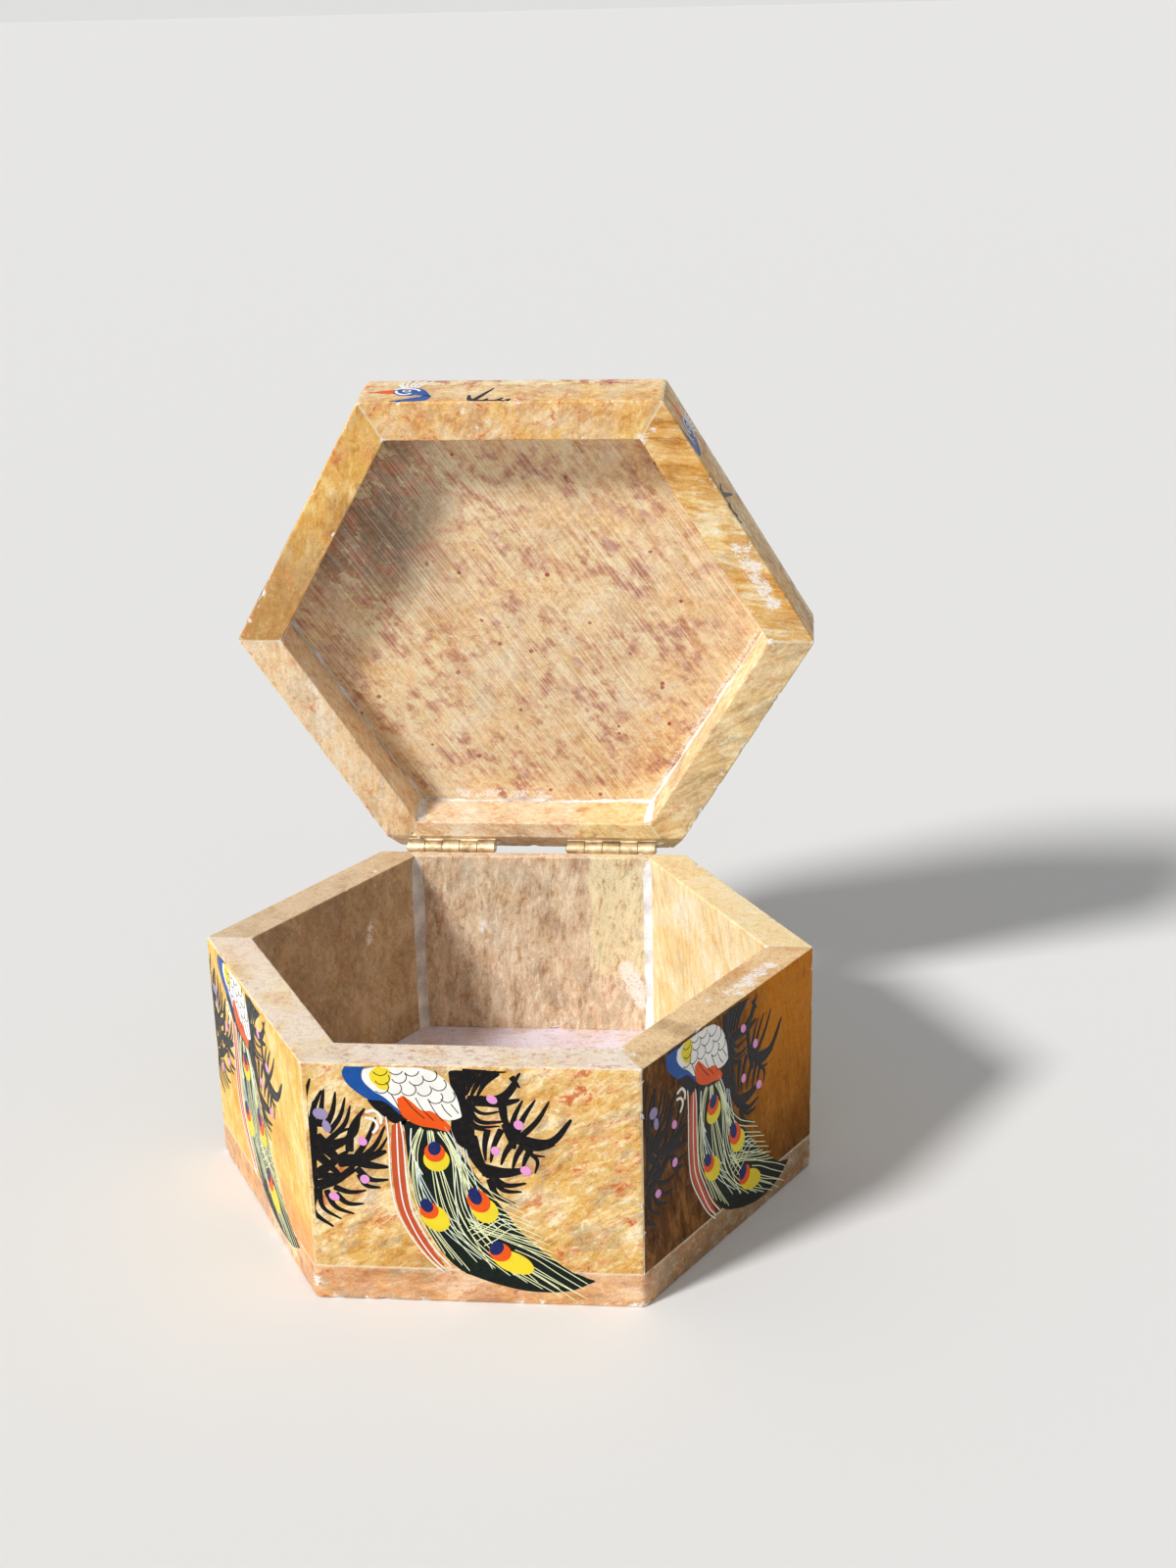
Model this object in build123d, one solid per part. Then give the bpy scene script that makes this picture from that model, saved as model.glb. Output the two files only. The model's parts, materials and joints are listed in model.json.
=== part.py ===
from build123d import *
import math
import os

# Six-sided carved stone trinket box with a hinged lid, modelled with the lid standing open.
# Millimetres. +Z is up, the box stands on z = 0, and the hinged side faces +Y.
# The corners of the six-sided plan lie on the X axis and at 60 degree steps from it.

# Stone shell
side = 50.0  # outer side of the six-sided plan, also its corner radius
wall = 6.7  # thickness of the wall slabs and of the lid's rim strips
base_height = 40.0  # table to the rim of the box
floor_thickness = 5.8  # bottom slab
rim_height = 8.0  # depth of the strips round the lid
top_thickness = 3.2  # slab on top of the lid
corner_round = 1.0  # worn vertical corners
top_round = 1.2  # worn upper edge of the lid
foot_round = 0.4  # worn lower edge of the bottom slab
lid_gap = 0.1  # between the lid's rim and the box when closed

# Bevels along the back, which make a groove for the hinge barrels
base_bevel_in = 4.7
base_bevel_down = 3.7
lid_bevel_in = 3.75
lid_bevel_up = 2.85

# Hinges
axis_inset = 1.6  # hinge axis, inward from the back face
axis_drop = 0.4  # hinge axis, below the rim of the box
open_angle = 80.0  # how far the lid stands open
hinge_length = 16.0
hinge_end_left = 1.8  # outer end of the left hinge to the box's corner, as fitted by hand
hinge_end_right = 3.0  # the same for the right hinge
knuckles = 5
knuckle_gap = 0.12
barrel_radius = 1.3
pin_radius = 0.6
pin_end = 0.25  # how far a pin stands out of its end knuckles
pin_bevel = 0.15
fixed_bore_clearance = 0.01  # pin in the box leaf's knuckles, a drive fit
running_bore_clearance = 0.05  # pin in the lid leaf's knuckles
leaf_thickness = 0.6
leaf_reach = 5.0  # hinge axis to the buried edge of a leaf
leaf_notch = 0.2  # between a leaf and the other leaf's knuckles
leaf_corner = 0.8  # rounding of the buried corners of a leaf
kerf_clearance = 0.15  # cement between the leaf and its saw kerf, on each face
kerf_end_clearance = 0.4  # cement beyond the leaf's ends and its buried edge

# Cement beads in the inner corners
bead_leg = 1.2  # width of a bead along each wall
bead_stop = 0.6  # how far a bead stops short of the rim

sides = 6
apothem = side * math.cos(math.pi / sides)
inner_side = side - wall / math.cos(math.pi / sides)
axis_y = apothem - axis_inset
axis_z = base_height - axis_drop
lid_bottom = base_height + lid_gap
hinge_axis = Axis((0, axis_y, axis_z), (1, 0, 0))
side_names = ["back_right", "back", "back_left", "front_left", "front", "front_right"]


def hexagon(corner_radius, low, high):
    """Six-sided prism with two corners on the X axis."""
    return Pos(0, 0, low) * extrude(RegularPolygon(corner_radius, sides), high - low)


def rounded_hexagon(corner_radius, low, high, radius):
    """The same prism with its upright corners rounded."""
    prism = hexagon(corner_radius, low, high)
    return fillet(prism.edges().filter_by(Axis.Z), radius)


def sector(number, low, high):
    """Wedge from the middle of the plan through two neighbouring corners, for mitred pieces."""
    reach = 2 * side
    angles = [math.radians(60 * number), math.radians(60 * (number + 1))]
    outer = [(reach * math.cos(a), reach * math.sin(a)) for a in angles]
    plan = make_face(Polyline((0, 0), *outer, close=True))
    return Pos(0, 0, low) * extrude(plan, high - low)


def back_prism(points):
    """Prism along X, through the whole box, of a shape given as (y, z) points."""
    plane = Plane(origin=(-2 * side, 0, 0), x_dir=(0, 1, 0), z_dir=(1, 0, 0))
    return extrude(plane * make_face(Polyline(*points, close=True)), 4 * side)


def base_bevel():
    """What the bevel along the back takes off the box's rim."""
    run, fall = base_bevel_in, base_bevel_down
    low_end = (apothem + run, base_height - 2 * fall)
    high_end = (apothem - 2 * run, base_height + fall)
    return back_prism([high_end, low_end, (low_end[0], high_end[1])])


def lid_bevel():
    """What the bevel along the back takes off the closed lid's rim."""
    run, rise = lid_bevel_in, lid_bevel_up
    high_end = (apothem + run, lid_bottom + 2 * rise)
    low_end = (apothem - 2 * run, lid_bottom - rise)
    return back_prism([low_end, high_end, (high_end[0], low_end[1])])


# A leaf runs into the stone square to its bevel.
base_leaf_angle = math.degrees(math.atan2(-base_bevel_in, -base_bevel_down))
lid_leaf_angle = math.degrees(math.atan2(lid_bevel_in, -lid_bevel_up))


def leaf_plane(angle, start_x):
    """Plane with its X along the hinge and its Y from the axis into the stone, at start_x."""
    turn = math.radians(angle)
    into = Vector(0, math.cos(turn), math.sin(turn))
    along = Vector(1, 0, 0)
    return Plane(origin=(start_x, axis_y, axis_z), x_dir=along, z_dir=along.cross(into))


def leaf_slab(angle, start_x, length, inner, outer, thickness, corner=0.0):
    """Flat bar centred on the plane through the axis, from radius inner to radius outer."""
    plan = Pos(length / 2, (inner + outer) / 2) * Rectangle(length, outer - inner)
    if corner:
        plan = fillet(plan.vertices().group_by(Axis.Y)[-1], corner)
    bar = extrude(plan, thickness / 2, both=True)
    return leaf_plane(angle, start_x) * bar


def knuckle_slots(first):
    """Start and length of every second knuckle of a hinge that starts at x = 0."""
    pitch = hinge_length / knuckles
    length = pitch - knuckle_gap
    return [(n * pitch + knuckle_gap / 2, length) for n in range(first, knuckles, 2)]


def rod(start_x, length, radius):
    """Round bar on the hinge axis."""
    plane = Plane(origin=(start_x, axis_y, axis_z), x_dir=(0, 1, 0), z_dir=(1, 0, 0))
    return plane * extrude(Circle(radius), length)


def hinge_leaf(start_x, angle, first, bore_clearance):
    """Leaf with its own knuckles, notched round those of the other leaf."""
    notch = barrel_radius + leaf_notch
    leaf = leaf_slab(
        angle, start_x, hinge_length, notch, leaf_reach, leaf_thickness, leaf_corner
    )
    for offset, length in knuckle_slots(first):
        web = leaf_slab(angle, start_x + offset, length, 0, notch, leaf_thickness)
        leaf = leaf + rod(start_x + offset, length, barrel_radius) + web
    bore = pin_radius + bore_clearance
    return leaf - rod(start_x - 1, hinge_length + 2, bore)


def hinge_pin(start_x):
    pin = rod(start_x - pin_end, hinge_length + 2 * pin_end, pin_radius)
    return chamfer(pin.edges().filter_by(GeomType.CIRCLE), pin_bevel)


def kerf(start_x, angle):
    """Saw kerf that takes a leaf."""
    return leaf_slab(
        angle,
        start_x - kerf_end_clearance,
        hinge_length + 2 * kerf_end_clearance,
        0,
        leaf_reach + kerf_end_clearance,
        leaf_thickness + 2 * kerf_clearance,
    )


def by_place(solids):
    """The solids as one group, in the order of their middles along X, then Y."""
    middles = [(round(s.center().X, 3), round(s.center().Y, 3)) for s in solids]
    return Compound(children=[s for _, s in sorted(zip(middles, solids), key=lambda p: p[0])])


def corner_beads(low, high):
    """Cement struck off flat across the six inner corners, between two heights."""
    opening = hexagon(inner_side, low, high)
    struck = chamfer(opening.edges().filter_by(Axis.Z), bead_leg)
    return by_place((opening - struck).solids())


hinge_starts = {
    "left": -side / 2 + hinge_end_left,
    "right": side / 2 - hinge_end_right - hinge_length,
}


def mitred_ring(low, high, bevel, leaf_angle, first, bore_clearance):
    """Ring of six mitred strips, sawn and cemented for the hinge leaves that are let into it."""
    ring = rounded_hexagon(side, low, high, corner_round)
    ring -= hexagon(inner_side, low - 1, high + 1)
    ring -= bevel
    leaves = {}
    cement = []
    for hand, start in hinge_starts.items():
        leaves[hand] = hinge_leaf(start, leaf_angle, first, bore_clearance)
        slot = kerf(start, leaf_angle)
        cement += list(((ring & slot) - leaves[hand]).solids())
        ring -= slot
    wedges = [ring & sector(number, low - 1, high + 1) for number in range(sides)]
    return wedges, leaves, by_place(cement)


def box_pieces():
    """Pieces of the box itself, which stays put."""
    bottom = rounded_hexagon(side, 0, floor_thickness, corner_round)
    bottom = fillet(bottom.faces().sort_by(Axis.Z)[0].edges(), foot_round)
    walls, leaves, cement = mitred_ring(
        floor_thickness, base_height, base_bevel(), base_leaf_angle, 0, fixed_bore_clearance
    )
    pieces = {"bottom_slab": bottom, "hinge_cement_box": cement}
    for name, strip in zip(side_names, walls):
        pieces["wall_" + name] = strip
    for hand, start in hinge_starts.items():
        pieces["hinge_leaf_box_" + hand] = leaves[hand]
        pieces["hinge_pin_" + hand] = hinge_pin(start)
    pieces["corner_cement_box"] = corner_beads(floor_thickness, base_height - bead_stop)
    return pieces


def lid_pieces():
    """Pieces of the lid as it lies closed on the box."""
    rim_top = lid_bottom + rim_height
    top = rounded_hexagon(side, rim_top, rim_top + top_thickness, corner_round)
    top = fillet(top.faces().sort_by(Axis.Z)[-1].edges(), top_round)
    strips, leaves, cement = mitred_ring(
        lid_bottom, rim_top, lid_bevel(), lid_leaf_angle, 1, running_bore_clearance
    )
    pieces = {"lid_top_slab": top, "hinge_cement_lid": cement}
    for name, strip in zip(side_names, strips):
        pieces["lid_rim_" + name] = strip
    for hand, leaf in leaves.items():
        pieces["hinge_leaf_lid_" + hand] = leaf
    pieces["corner_cement_lid"] = corner_beads(lid_bottom + bead_stop, rim_top)
    return pieces


def main():
    os.makedirs("parts", exist_ok=True)
    pieces = box_pieces()
    for name, piece in lid_pieces().items():
        pieces[name] = piece.rotate(hinge_axis, -open_angle)
    for name, piece in pieces.items():
        solids = piece.solids()
        whole = solids[0] if len(solids) == 1 else by_place(solids)
        export_step(whole, f"parts/{name}.step")
    print(f"axis y {axis_y:.3f} z {axis_z:.3f}, inner side {inner_side:.3f}")
    print(f"closed height {lid_bottom + rim_height + top_thickness:.2f}")


main()
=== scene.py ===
import itertools
import json
import math

import bmesh
import bpy
import numpy as np
from mathutils import Matrix, Vector


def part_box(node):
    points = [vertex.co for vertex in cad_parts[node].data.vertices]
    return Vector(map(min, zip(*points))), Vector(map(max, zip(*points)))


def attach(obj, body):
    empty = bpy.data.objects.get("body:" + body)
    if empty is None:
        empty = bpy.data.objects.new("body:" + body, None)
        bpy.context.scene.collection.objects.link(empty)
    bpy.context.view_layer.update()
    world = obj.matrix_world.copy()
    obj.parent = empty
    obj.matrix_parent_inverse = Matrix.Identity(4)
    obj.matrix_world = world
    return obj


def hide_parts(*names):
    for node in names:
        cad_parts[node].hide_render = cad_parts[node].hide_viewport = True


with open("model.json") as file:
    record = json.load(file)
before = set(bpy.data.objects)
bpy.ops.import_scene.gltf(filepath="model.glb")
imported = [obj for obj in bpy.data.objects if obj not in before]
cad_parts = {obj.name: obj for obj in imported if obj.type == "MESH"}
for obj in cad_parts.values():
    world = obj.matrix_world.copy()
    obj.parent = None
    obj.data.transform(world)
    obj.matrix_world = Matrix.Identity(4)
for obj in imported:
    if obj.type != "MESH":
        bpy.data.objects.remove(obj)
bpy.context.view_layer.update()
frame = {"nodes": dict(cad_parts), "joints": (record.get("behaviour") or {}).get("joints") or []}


# The bottom slab
# A six-sided plate of sawn soapstone, 5.8 mm thick and 100 mm across its corners. Its edge is rubbed
# smooth with the walls after they are glued on, and the corners that touch the table are chipped.

mm = 0.001
slab_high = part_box("bottom_slab")[1]
slab_top = slab_high.z
apothem = slab_high.y
side = apothem / math.cos(math.pi / 6)
corner_round = 1.0 * mm
foot_round = 0.4 * mm
glued_edge = 0.02 * mm
glue_line = 0.12 * mm


def lattice(cells, seed):
    """A value from 0 to 1 for each whole-number cell: its numbers multiplied, added and bit-shifted."""
    x, y, z = (cells[..., axis].astype(np.int64) for axis in range(3))
    mixed = (x * 374761393 + y * 668265263 + z * 1440662683 + seed * 1446647) & 0xFFFFFFFF
    mixed = ((mixed ^ (mixed >> 13)) * 1274126177) & 0xFFFFFFFF
    return ((mixed ^ (mixed >> 16)) & 0xFFFFFF) / 0xFFFFFF


def rough(points, size, octaves=3, seed=0):
    """Noise from about -1 to 1: per octave the eight lattice values round a point, blended by 3t^2 - 2t^3.

    Each octave is half as large and half as strong as the one before it."""
    total = np.zeros(points.shape[:-1])
    for octave in range(octaves):
        scaled = points / size * 2**octave
        cell = np.floor(scaled)
        t = scaled - cell
        t = t * t * (3 - 2 * t)
        for corner in itertools.product((0, 1), repeat=3):
            weight = np.prod(np.where(corner, t, 1 - t), axis=-1)
            total += weight * (2 * lattice(cell + corner, seed + octave) - 1) / 2**octave
    return total


def smooth_step(low, high, values):
    """0 below low and 1 above high, with 3t^2 - 2t^3 between."""
    t = np.clip((values - low) / (high - low), 0, 1)
    return t * t * (3 - 2 * t)


def bell(distance, reach):
    """1 at no distance, falling off as e to the minus square of distance over reach."""
    return np.exp(-((distance / reach) ** 2))


def eased(count, share=0.7):
    """Positions from -1 to 1, close together at both ends: share sin(pi s / 2) + (1 - share) s."""
    s = np.linspace(-1, 1, count)
    return share * np.sin(math.pi * s / 2) + (1 - share) * s


def chip_depth(points, seed):
    """How deep a chip is at each point: what noise rises over the bare level, as a depth."""
    size, deepest, bare = 1.3 * mm, 0.5 * mm, 0.42
    return deepest * smooth_step(bare, bare + 0.75, rough(points, size, 3, seed))


def scuffed(points, places):
    """How much white scuffing lies at each point, up to 1; on the front right rim partly painted highlight.

    It is the sum of a bell round each place, given as (x, y, z, radius) in millimetres."""
    total = np.zeros(points.shape[:-1])
    for x, y, z, radius in places:
        total += bell(np.linalg.norm(points - np.array([x, y, z]) * mm, axis=-1), radius * mm)
    return np.minimum(total, 1.0)


def lattice_faces(rows, columns, closed=True):
    """Quads between neighbours of a grid whose points are numbered row by row, its rows rings if closed."""
    r = np.arange(rows - 1)
    c = np.arange(columns if closed else columns - 1)
    r, c = (a.ravel() for a in np.meshgrid(r, c, indexing="ij"))
    after = (c + 1) % columns
    row, next_row = r * columns, (r + 1) * columns
    return np.stack([row + c, row + after, next_row + after, next_row + c], 1)


def mesh_piece(name, points, quads, extras=(), marks=None):
    """A mesh object from a grid's points and quads, extra faces, and values marked on its points."""
    mesh = bpy.data.meshes.new(name)
    mesh.from_pydata(points.reshape(-1, 3).tolist(), [], quads.tolist() + [list(f) for f in extras])
    for key, values in (marks or {}).items():
        coloured = values.ndim > 1 and values.shape[-1] == 4
        attribute = mesh.attributes.new(key, "FLOAT_COLOR" if coloured else "FLOAT", "POINT")
        attribute.data.foreach_set("color" if coloured else "value", values.ravel())
    mesh.shade_smooth()
    mesh.set_sharp_from_angle(angle=math.radians(35))
    piece = bpy.data.objects.new(name, mesh)
    bpy.context.scene.collection.objects.link(piece)
    return piece


def heading(degrees):
    """Level unit vector at an angle from X."""
    turn = math.radians(degrees)
    return np.array([math.cos(turn), math.sin(turn), 0])


def side_axes(number):
    """Level unit vectors outwards from one side of the hexagon and along it."""
    out = heading(60 * number + 30)
    return out, np.array([-out[1], out[0], 0])


def hexagon_outline():
    """Outline of the hexagon in plan: at each corner an arc over 60 degrees, then a straight, eased side."""
    points = []
    centre_distance = (apothem - corner_round) / math.cos(math.pi / 6)
    t = (eased(60)[1:-1, None] + 1) / 2
    for number in range(6):
        middle, next_middle = (centre_distance * heading(60 * n)[:2] for n in (number, number + 1))
        turn = np.radians(60 * number - 30 + np.linspace(0, 60, 5))
        step = corner_round * heading(60 * number + 30)[:2]
        points.append(middle + corner_round * np.stack([np.cos(turn), np.sin(turn)], 1))
        points.append((middle + step) * (1 - t) + (next_middle + step) * t)
    return np.concatenate(points)


def quarter(count, inset, height, radius, start):
    """Points of a quarter round, as (inset, height) pairs, from one angle over a quarter turn."""
    turn = np.radians(start + np.linspace(0, 90, count))
    return np.stack([inset - radius * np.cos(turn), height + radius * np.sin(turn)], 1)


def plate(low, high, low_round, high_round, seed, rings=14):
    """Six-sided plate: rings of the outline, shrunk towards the middle by each ring's inset, low to high."""
    worn_in, worn_down, worn_depth = 0.7 * mm, 0.5 * mm, 0.25 * mm
    rubbed_border = 1.5 * mm
    inset = apothem * (1 - np.linspace(0, 1, rings) ** 0.6)[:-1]
    under = np.stack([inset + low_round, np.full(rings - 1, low)], 1)
    edge_low = quarter(5, low_round, low + low_round, low_round, -90)
    flank = np.linspace(low + low_round, high - high_round, 16)[1:-1]
    flank = np.stack([np.zeros(14), flank], 1)
    edge_high = quarter(7, high_round, high - high_round, high_round, 0)
    over = np.stack([inset[::-1] + high_round, np.full(rings - 1, high)], 1)
    profile = np.concatenate([under, edge_low, flank, edge_high, over])
    outline = hexagon_outline()
    shrink = np.clip(1 - profile[:, 0] / apothem, 0, 1)
    points = np.empty((len(profile), len(outline), 3))
    points[..., :2] = shrink[:, None, None] * outline[None]
    points[..., 2] = profile[:, 1, None]
    near_edge = np.exp(-profile[:, 0] / worn_in)[:, None]
    near_face = np.exp(-np.minimum(abs(profile[:, 1] - low), abs(profile[:, 1] - high)) / worn_down)
    depth = chip_depth(points, seed) * near_edge * near_face[:, None]
    points[..., :2] *= (1 - depth / apothem)[..., None]
    points[..., 2] += depth * np.where(profile[:, 1] < (low + high) / 2, 0.7, -0.7)[:, None]
    marks = {
        "bruise": depth / worn_depth,
        "seam": np.zeros(depth.shape),
        "sawn": np.where(profile[:, 0] > rubbed_border, 1.0, 0.0)[:, None] + np.zeros(depth.shape),
        "rim": np.zeros(depth.shape),
    }
    return points, lattice_faces(len(profile), len(outline)), marks


class Wire:
    """An output of a shader node. Adding, taking away and multiplying make Math nodes."""

    def __init__(self, tree, socket):
        self.tree = tree
        self.socket = socket

    def calculate(self, operation, first, second):
        return node(self.tree, "Math", {"operation": operation}, {0: first, 1: second})

    def __add__(self, other):
        return self.calculate("ADD", self, other)

    __radd__ = __add__

    def __sub__(self, other):
        return self.calculate("SUBTRACT", self, other)

    def __rsub__(self, other):
        return self.calculate("SUBTRACT", other, self)

    def __mul__(self, other):
        return self.calculate("MULTIPLY", self, other)

    __rmul__ = __mul__


def node(tree, kind, settings, inputs, output=0):
    """A shader node with its settings and sockets, as its output's Wire. Ramp stops are a setting."""
    made = tree.nodes.new("ShaderNode" + kind)
    for key, value in settings.items():
        if key == "stops":
            while len(made.color_ramp.elements) < len(value):
                made.color_ramp.elements.new(0.5)
            for element, (place, colour) in zip(made.color_ramp.elements, value):
                element.position = place
                element.color = (*colour, 1)
        else:
            setattr(made, key, value)
    for key, value in inputs.items():
        if isinstance(value, Wire):
            tree.links.new(value.socket, made.inputs[key])
        else:
            made.inputs[key].default_value = value
    return Wire(tree, made.outputs[output])


def link(wire, shader, key):
    """Joins a Wire to one of a shader's sockets."""
    wire.tree.links.new(wire.socket, shader.inputs[key])


def ramp(factor, *stops):
    """Colour that goes through the stops, each a (place, colour), as the factor rises."""
    return node(factor.tree, "ValToRGB", {"stops": stops}, {"Fac": factor})


def blend(factor, low, high, mode="MIX"):
    """Colours mixed by a factor."""
    pair = [c if isinstance(c, Wire) else (*c, 1) for c in (low, high)]
    settings = {"data_type": "RGBA", "blend_type": mode, "clamp_factor": True}
    return node(factor.tree, "Mix", settings, {0: factor, 6: pair[0], 7: pair[1]}, 2)


def between(value, low, high, out_low=0.0, out_high=1.0):
    """Smooth change from out_low to out_high as value goes from low to high."""
    inputs = {0: value, 1: low, 2: high, 3: out_low, 4: out_high}
    return node(value.tree, "MapRange", {"interpolation_type": "SMOOTHSTEP"}, inputs)


def noise(coordinates, size, detail=4.0, roughness=0.55, distortion=0.0):
    """Noise whose features are about size millimetres across, on coordinates in millimetres."""
    inputs = {"Vector": coordinates, "Scale": 1 / size, "Detail": detail}
    inputs.update({"Roughness": roughness, "Distortion": distortion})
    return node(coordinates.tree, "TexNoise", {}, inputs)


def stretched(coordinates, angle, along, about=(0, 1, 0)):
    """Coordinates turned by angle about an axis and squeezed along X, which draws features out there."""
    turn = tuple(Matrix.Rotation(math.radians(angle), 3, Vector(about)).to_euler())
    turned = node(coordinates.tree, "Mapping", {}, {"Vector": coordinates, "Rotation": turn})
    return node(coordinates.tree, "Mapping", {}, {"Vector": turned, "Scale": (1 / along, 1, 1)})


def surface(name, **fixed):
    """A material with a Principled shader, as the material, its tree and the shader."""
    material = bpy.data.materials.new(name)
    material.use_nodes = True
    shader = material.node_tree.nodes["Principled BSDF"]
    for key, value in fixed.items():
        shader.inputs[key.replace("_", " ")].default_value = value
    return material, material.node_tree, shader


def local_coordinates(tree, turn=Matrix.Identity(3), shift=Vector((0, 0, 0))):
    """Object coordinates in millimetres, turned and shifted into a piece's own axes."""
    place = node(tree, "TexCoord", {}, {}, 3)
    inputs = {"Vector": place, "Rotation": tuple(turn.to_euler()), "Location": tuple(shift / mm)}
    return node(tree, "Mapping", {}, {**inputs, "Scale": (1 / mm,) * 3})


def raise_surface(shader, strength, height):
    """Bump by a height in millimetres."""
    inputs = {"Strength": strength, "Distance": mm, "Height": height}
    link(node(height.tree, "Bump", {}, inputs), shader, "Normal")


def soapstone(
    name,
    turn=Matrix.Identity(3),
    shift=Vector((0, 0, 0)),
    deep=(0.70, 0.41, 0.12),
    body=(0.82, 0.57, 0.23),
    pale=(0.97, 0.83, 0.56),
    grey=(0.46, 0.37, 0.25),
    greyed=0.6,
    rust=(0.66, 0.20, 0.06),
    rusty=0.7,
    streak=-32,
    drawn=3.2,
    offset=0.0,
    patch=None,
    blotch=None,
    saw=(50, 0.35),
    film=((0.93, 0.82, 0.66), 0.0),
    rim_film=((0.95, 0.84, 0.70), 0.0),
    mottled=0.45,
    scoring=0.35,
    amber=((1.0, 0.85, 0.52), 0.75),
    ragged_by=5.0,
    shine=0.14,
    about=(0, 1, 0),
):
    """Soapstone: honey stone with cream flames drawn out along a slant, grey clouds and rust spots.

    patch is ((x where it starts, x where it is full), the same for z, colour) in the piece's own
    millimetres. A blotch colour gives the stone round blotches with cream between them, and keeps the
    patch to its sawn faces. Sawn faces show the saw's lines, at an angle and a spacing, and a film of
    dust, as a colour and a share."""
    material, tree, shader = surface(
        name,
        Subsurface_Weight=0.12,
        Subsurface_Scale=0.0025,
        Subsurface_Radius=(1.0, 0.6, 0.25),
        Specular_IOR_Level=shine,
    )
    own = local_coordinates(tree, turn, shift + Vector((offset, offset * 0.7, 0)) * mm)
    sawn, seam, bruise, rim_face = (
        node(tree, "Attribute", {"attribute_name": mark}, {}, 2)
        for mark in ("sawn", "seam", "bruise", "rim")
    )
    clouds = noise(own, 11, 3, 0.5, 0.8)
    flames = noise(stretched(own, streak, drawn, about), 2.6, 8, 0.62, 1.1)
    fibres = noise(stretched(own, streak + 8, drawn * 1.5, about), 0.8, 6, 0.75, 0.5)
    tone = clouds * 0.34 + flames * 0.40 + fibres * 0.26
    colour = ramp(tone, (0.43, deep), (0.485, body), (0.515, body), (0.57, pale))
    amber_colour, amber_share = amber
    ambered = between(noise(own, 7.5, 4, 0.6, 0.7), 0.42, 0.60)
    colour = blend(ambered * amber_share, colour, amber_colour, "MULTIPLY")
    if patch:
        ragged = (noise(own, 4, 5, 0.65) - 0.5) * ragged_by
        across = node(tree, "SeparateXYZ", {}, {"Vector": own}, 0) - offset + ragged
        upwards = node(tree, "SeparateXYZ", {}, {"Vector": own}, 2) + ragged * 1.5
        (x_from, x_to), (z_from, z_to), patch_colour = patch
        inside = between(across, x_from, x_to) * between(upwards, z_from, z_to)
        if blotch:
            inside = inside * sawn
        shaded = blend(fibres, (0.72, 0.66, 0.60), (1.2, 1.25, 1.3))
        toned = blend(inside, patch_colour, shaded, "MULTIPLY")
        colour = blend(inside * 0.85, colour, toned)
    grey_cloud = noise(stretched(own, streak, 1.8, about), 4.2, 6, 0.66, 0.6)
    grey_share = between(grey_cloud, 0.52, 0.60) * between(fibres, 0.36, 0.56, 0.35, 1.0) * greyed
    colour = blend(grey_share, colour, grey)
    spots = noise(stretched(own, streak, 1.7), 2.0, 7, 0.68, 0.5)
    rust_zone = between(noise(own, 9, 2, 0.5), 0.40, 0.56) * rusty
    colour = blend(between(spots, 0.50, 0.60) * rust_zone * 0.55, colour, (0.86, 0.42, 0.20))
    colour = blend(between(spots, 0.575, 0.635) * rust_zone, colour, rust)
    if blotch:
        blotches = noise(stretched(own, streak, 1.5), 1.9, 5, 0.62, 0.25)
        cluster = between(noise(own, 8, 3, 0.55, 0.4), 0.40, 0.62)
        cream = between(blotches, 0.40, 0.48, 1, 0) * between(noise(own, 8, 3, 0.6, 0.5), 0.45, 0.60)
        colour = blend(cream * 0.75, colour, (0.97, 0.84, 0.52))
        soft = between(blotches + cluster * 0.06, 0.50, 0.65) * (cluster * 0.6 + 0.35)
        colour = blend(soft, colour, blotch)
        core = between(blotches + cluster * 0.05, 0.59, 0.68) * cluster
        colour = blend(core * 0.55, colour, (0.42, 0.15, 0.09))
        dots = node(tree, "TexVoronoi", {}, {"Vector": own, "Scale": 0.27})
        dotted = between(dots, 0.09, 0.13, 1, 0) * between(noise(own, 5, 2), 0.48, 0.50)
        colour = blend(dotted, colour, (0.42, 0.07, 0.025))
    dusty = between(noise(own, 7, 5, 0.6), 0.3, 0.6, 0.5, 1.0)
    for face, (dust, dust_share) in ((sawn, film), (rim_face, rim_film)):
        colour = blend(face * dusty * dust_share, colour, dust)
    grain = noise(own, 0.33, 3, 0.7)
    colour = blend(between(grain, 0.3, 0.7, 0.0, 0.28), colour, (0.42, 0.26, 0.14), "MULTIPLY")
    mottle = noise(stretched(own, streak, 0.6 * drawn, about), 1.1, 6, 0.75, 0.4)
    shade = between(mottle, 0.50, 0.66, 0.0, mottled)
    colour = blend(shade, colour, (0.62, 0.42, 0.26), "MULTIPLY")
    bright = [min(1.0, channel * 1.06 + 0.01) for channel in pale]
    colour = blend(between(mottle, 0.34, 0.47, mottled * 0.8, 0.0), colour, bright)
    angle, spacing = saw
    lines = noise(stretched(own, angle, 70), spacing, 2, 0.6)
    cut = between(lines, 0.42, 0.60)
    scored = sawn * between(noise(own, 16, 2), 0.35, 0.6, 0.45, 1.0) * scoring
    colour = blend(scored * cut * 0.30, colour, (0.97, 0.92, 0.82))
    colour = blend(scored * (1 - cut) * 0.24, colour, (0.36, 0.22, 0.14))
    colour = blend(seam * 0.6, colour, (0.95, 0.84, 0.62))
    # White from scuffs and chips; along the front right rim this white is partly a painted highlight.
    scratches = noise(stretched(own, 50, 5, (0, 1, 1)), 0.32, 5, 0.75, 0.6)
    white = between(bruise + (scratches - 0.5) * 3.2, 0.62, 1.05)
    colour = blend(white * 0.85, colour, (0.95, 0.93, 0.91))
    link(colour, shader, "Base Color")
    polish = between(noise(own, 5, 3, 0.6), 0.3, 0.7, 0.30, 0.42)
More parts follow.
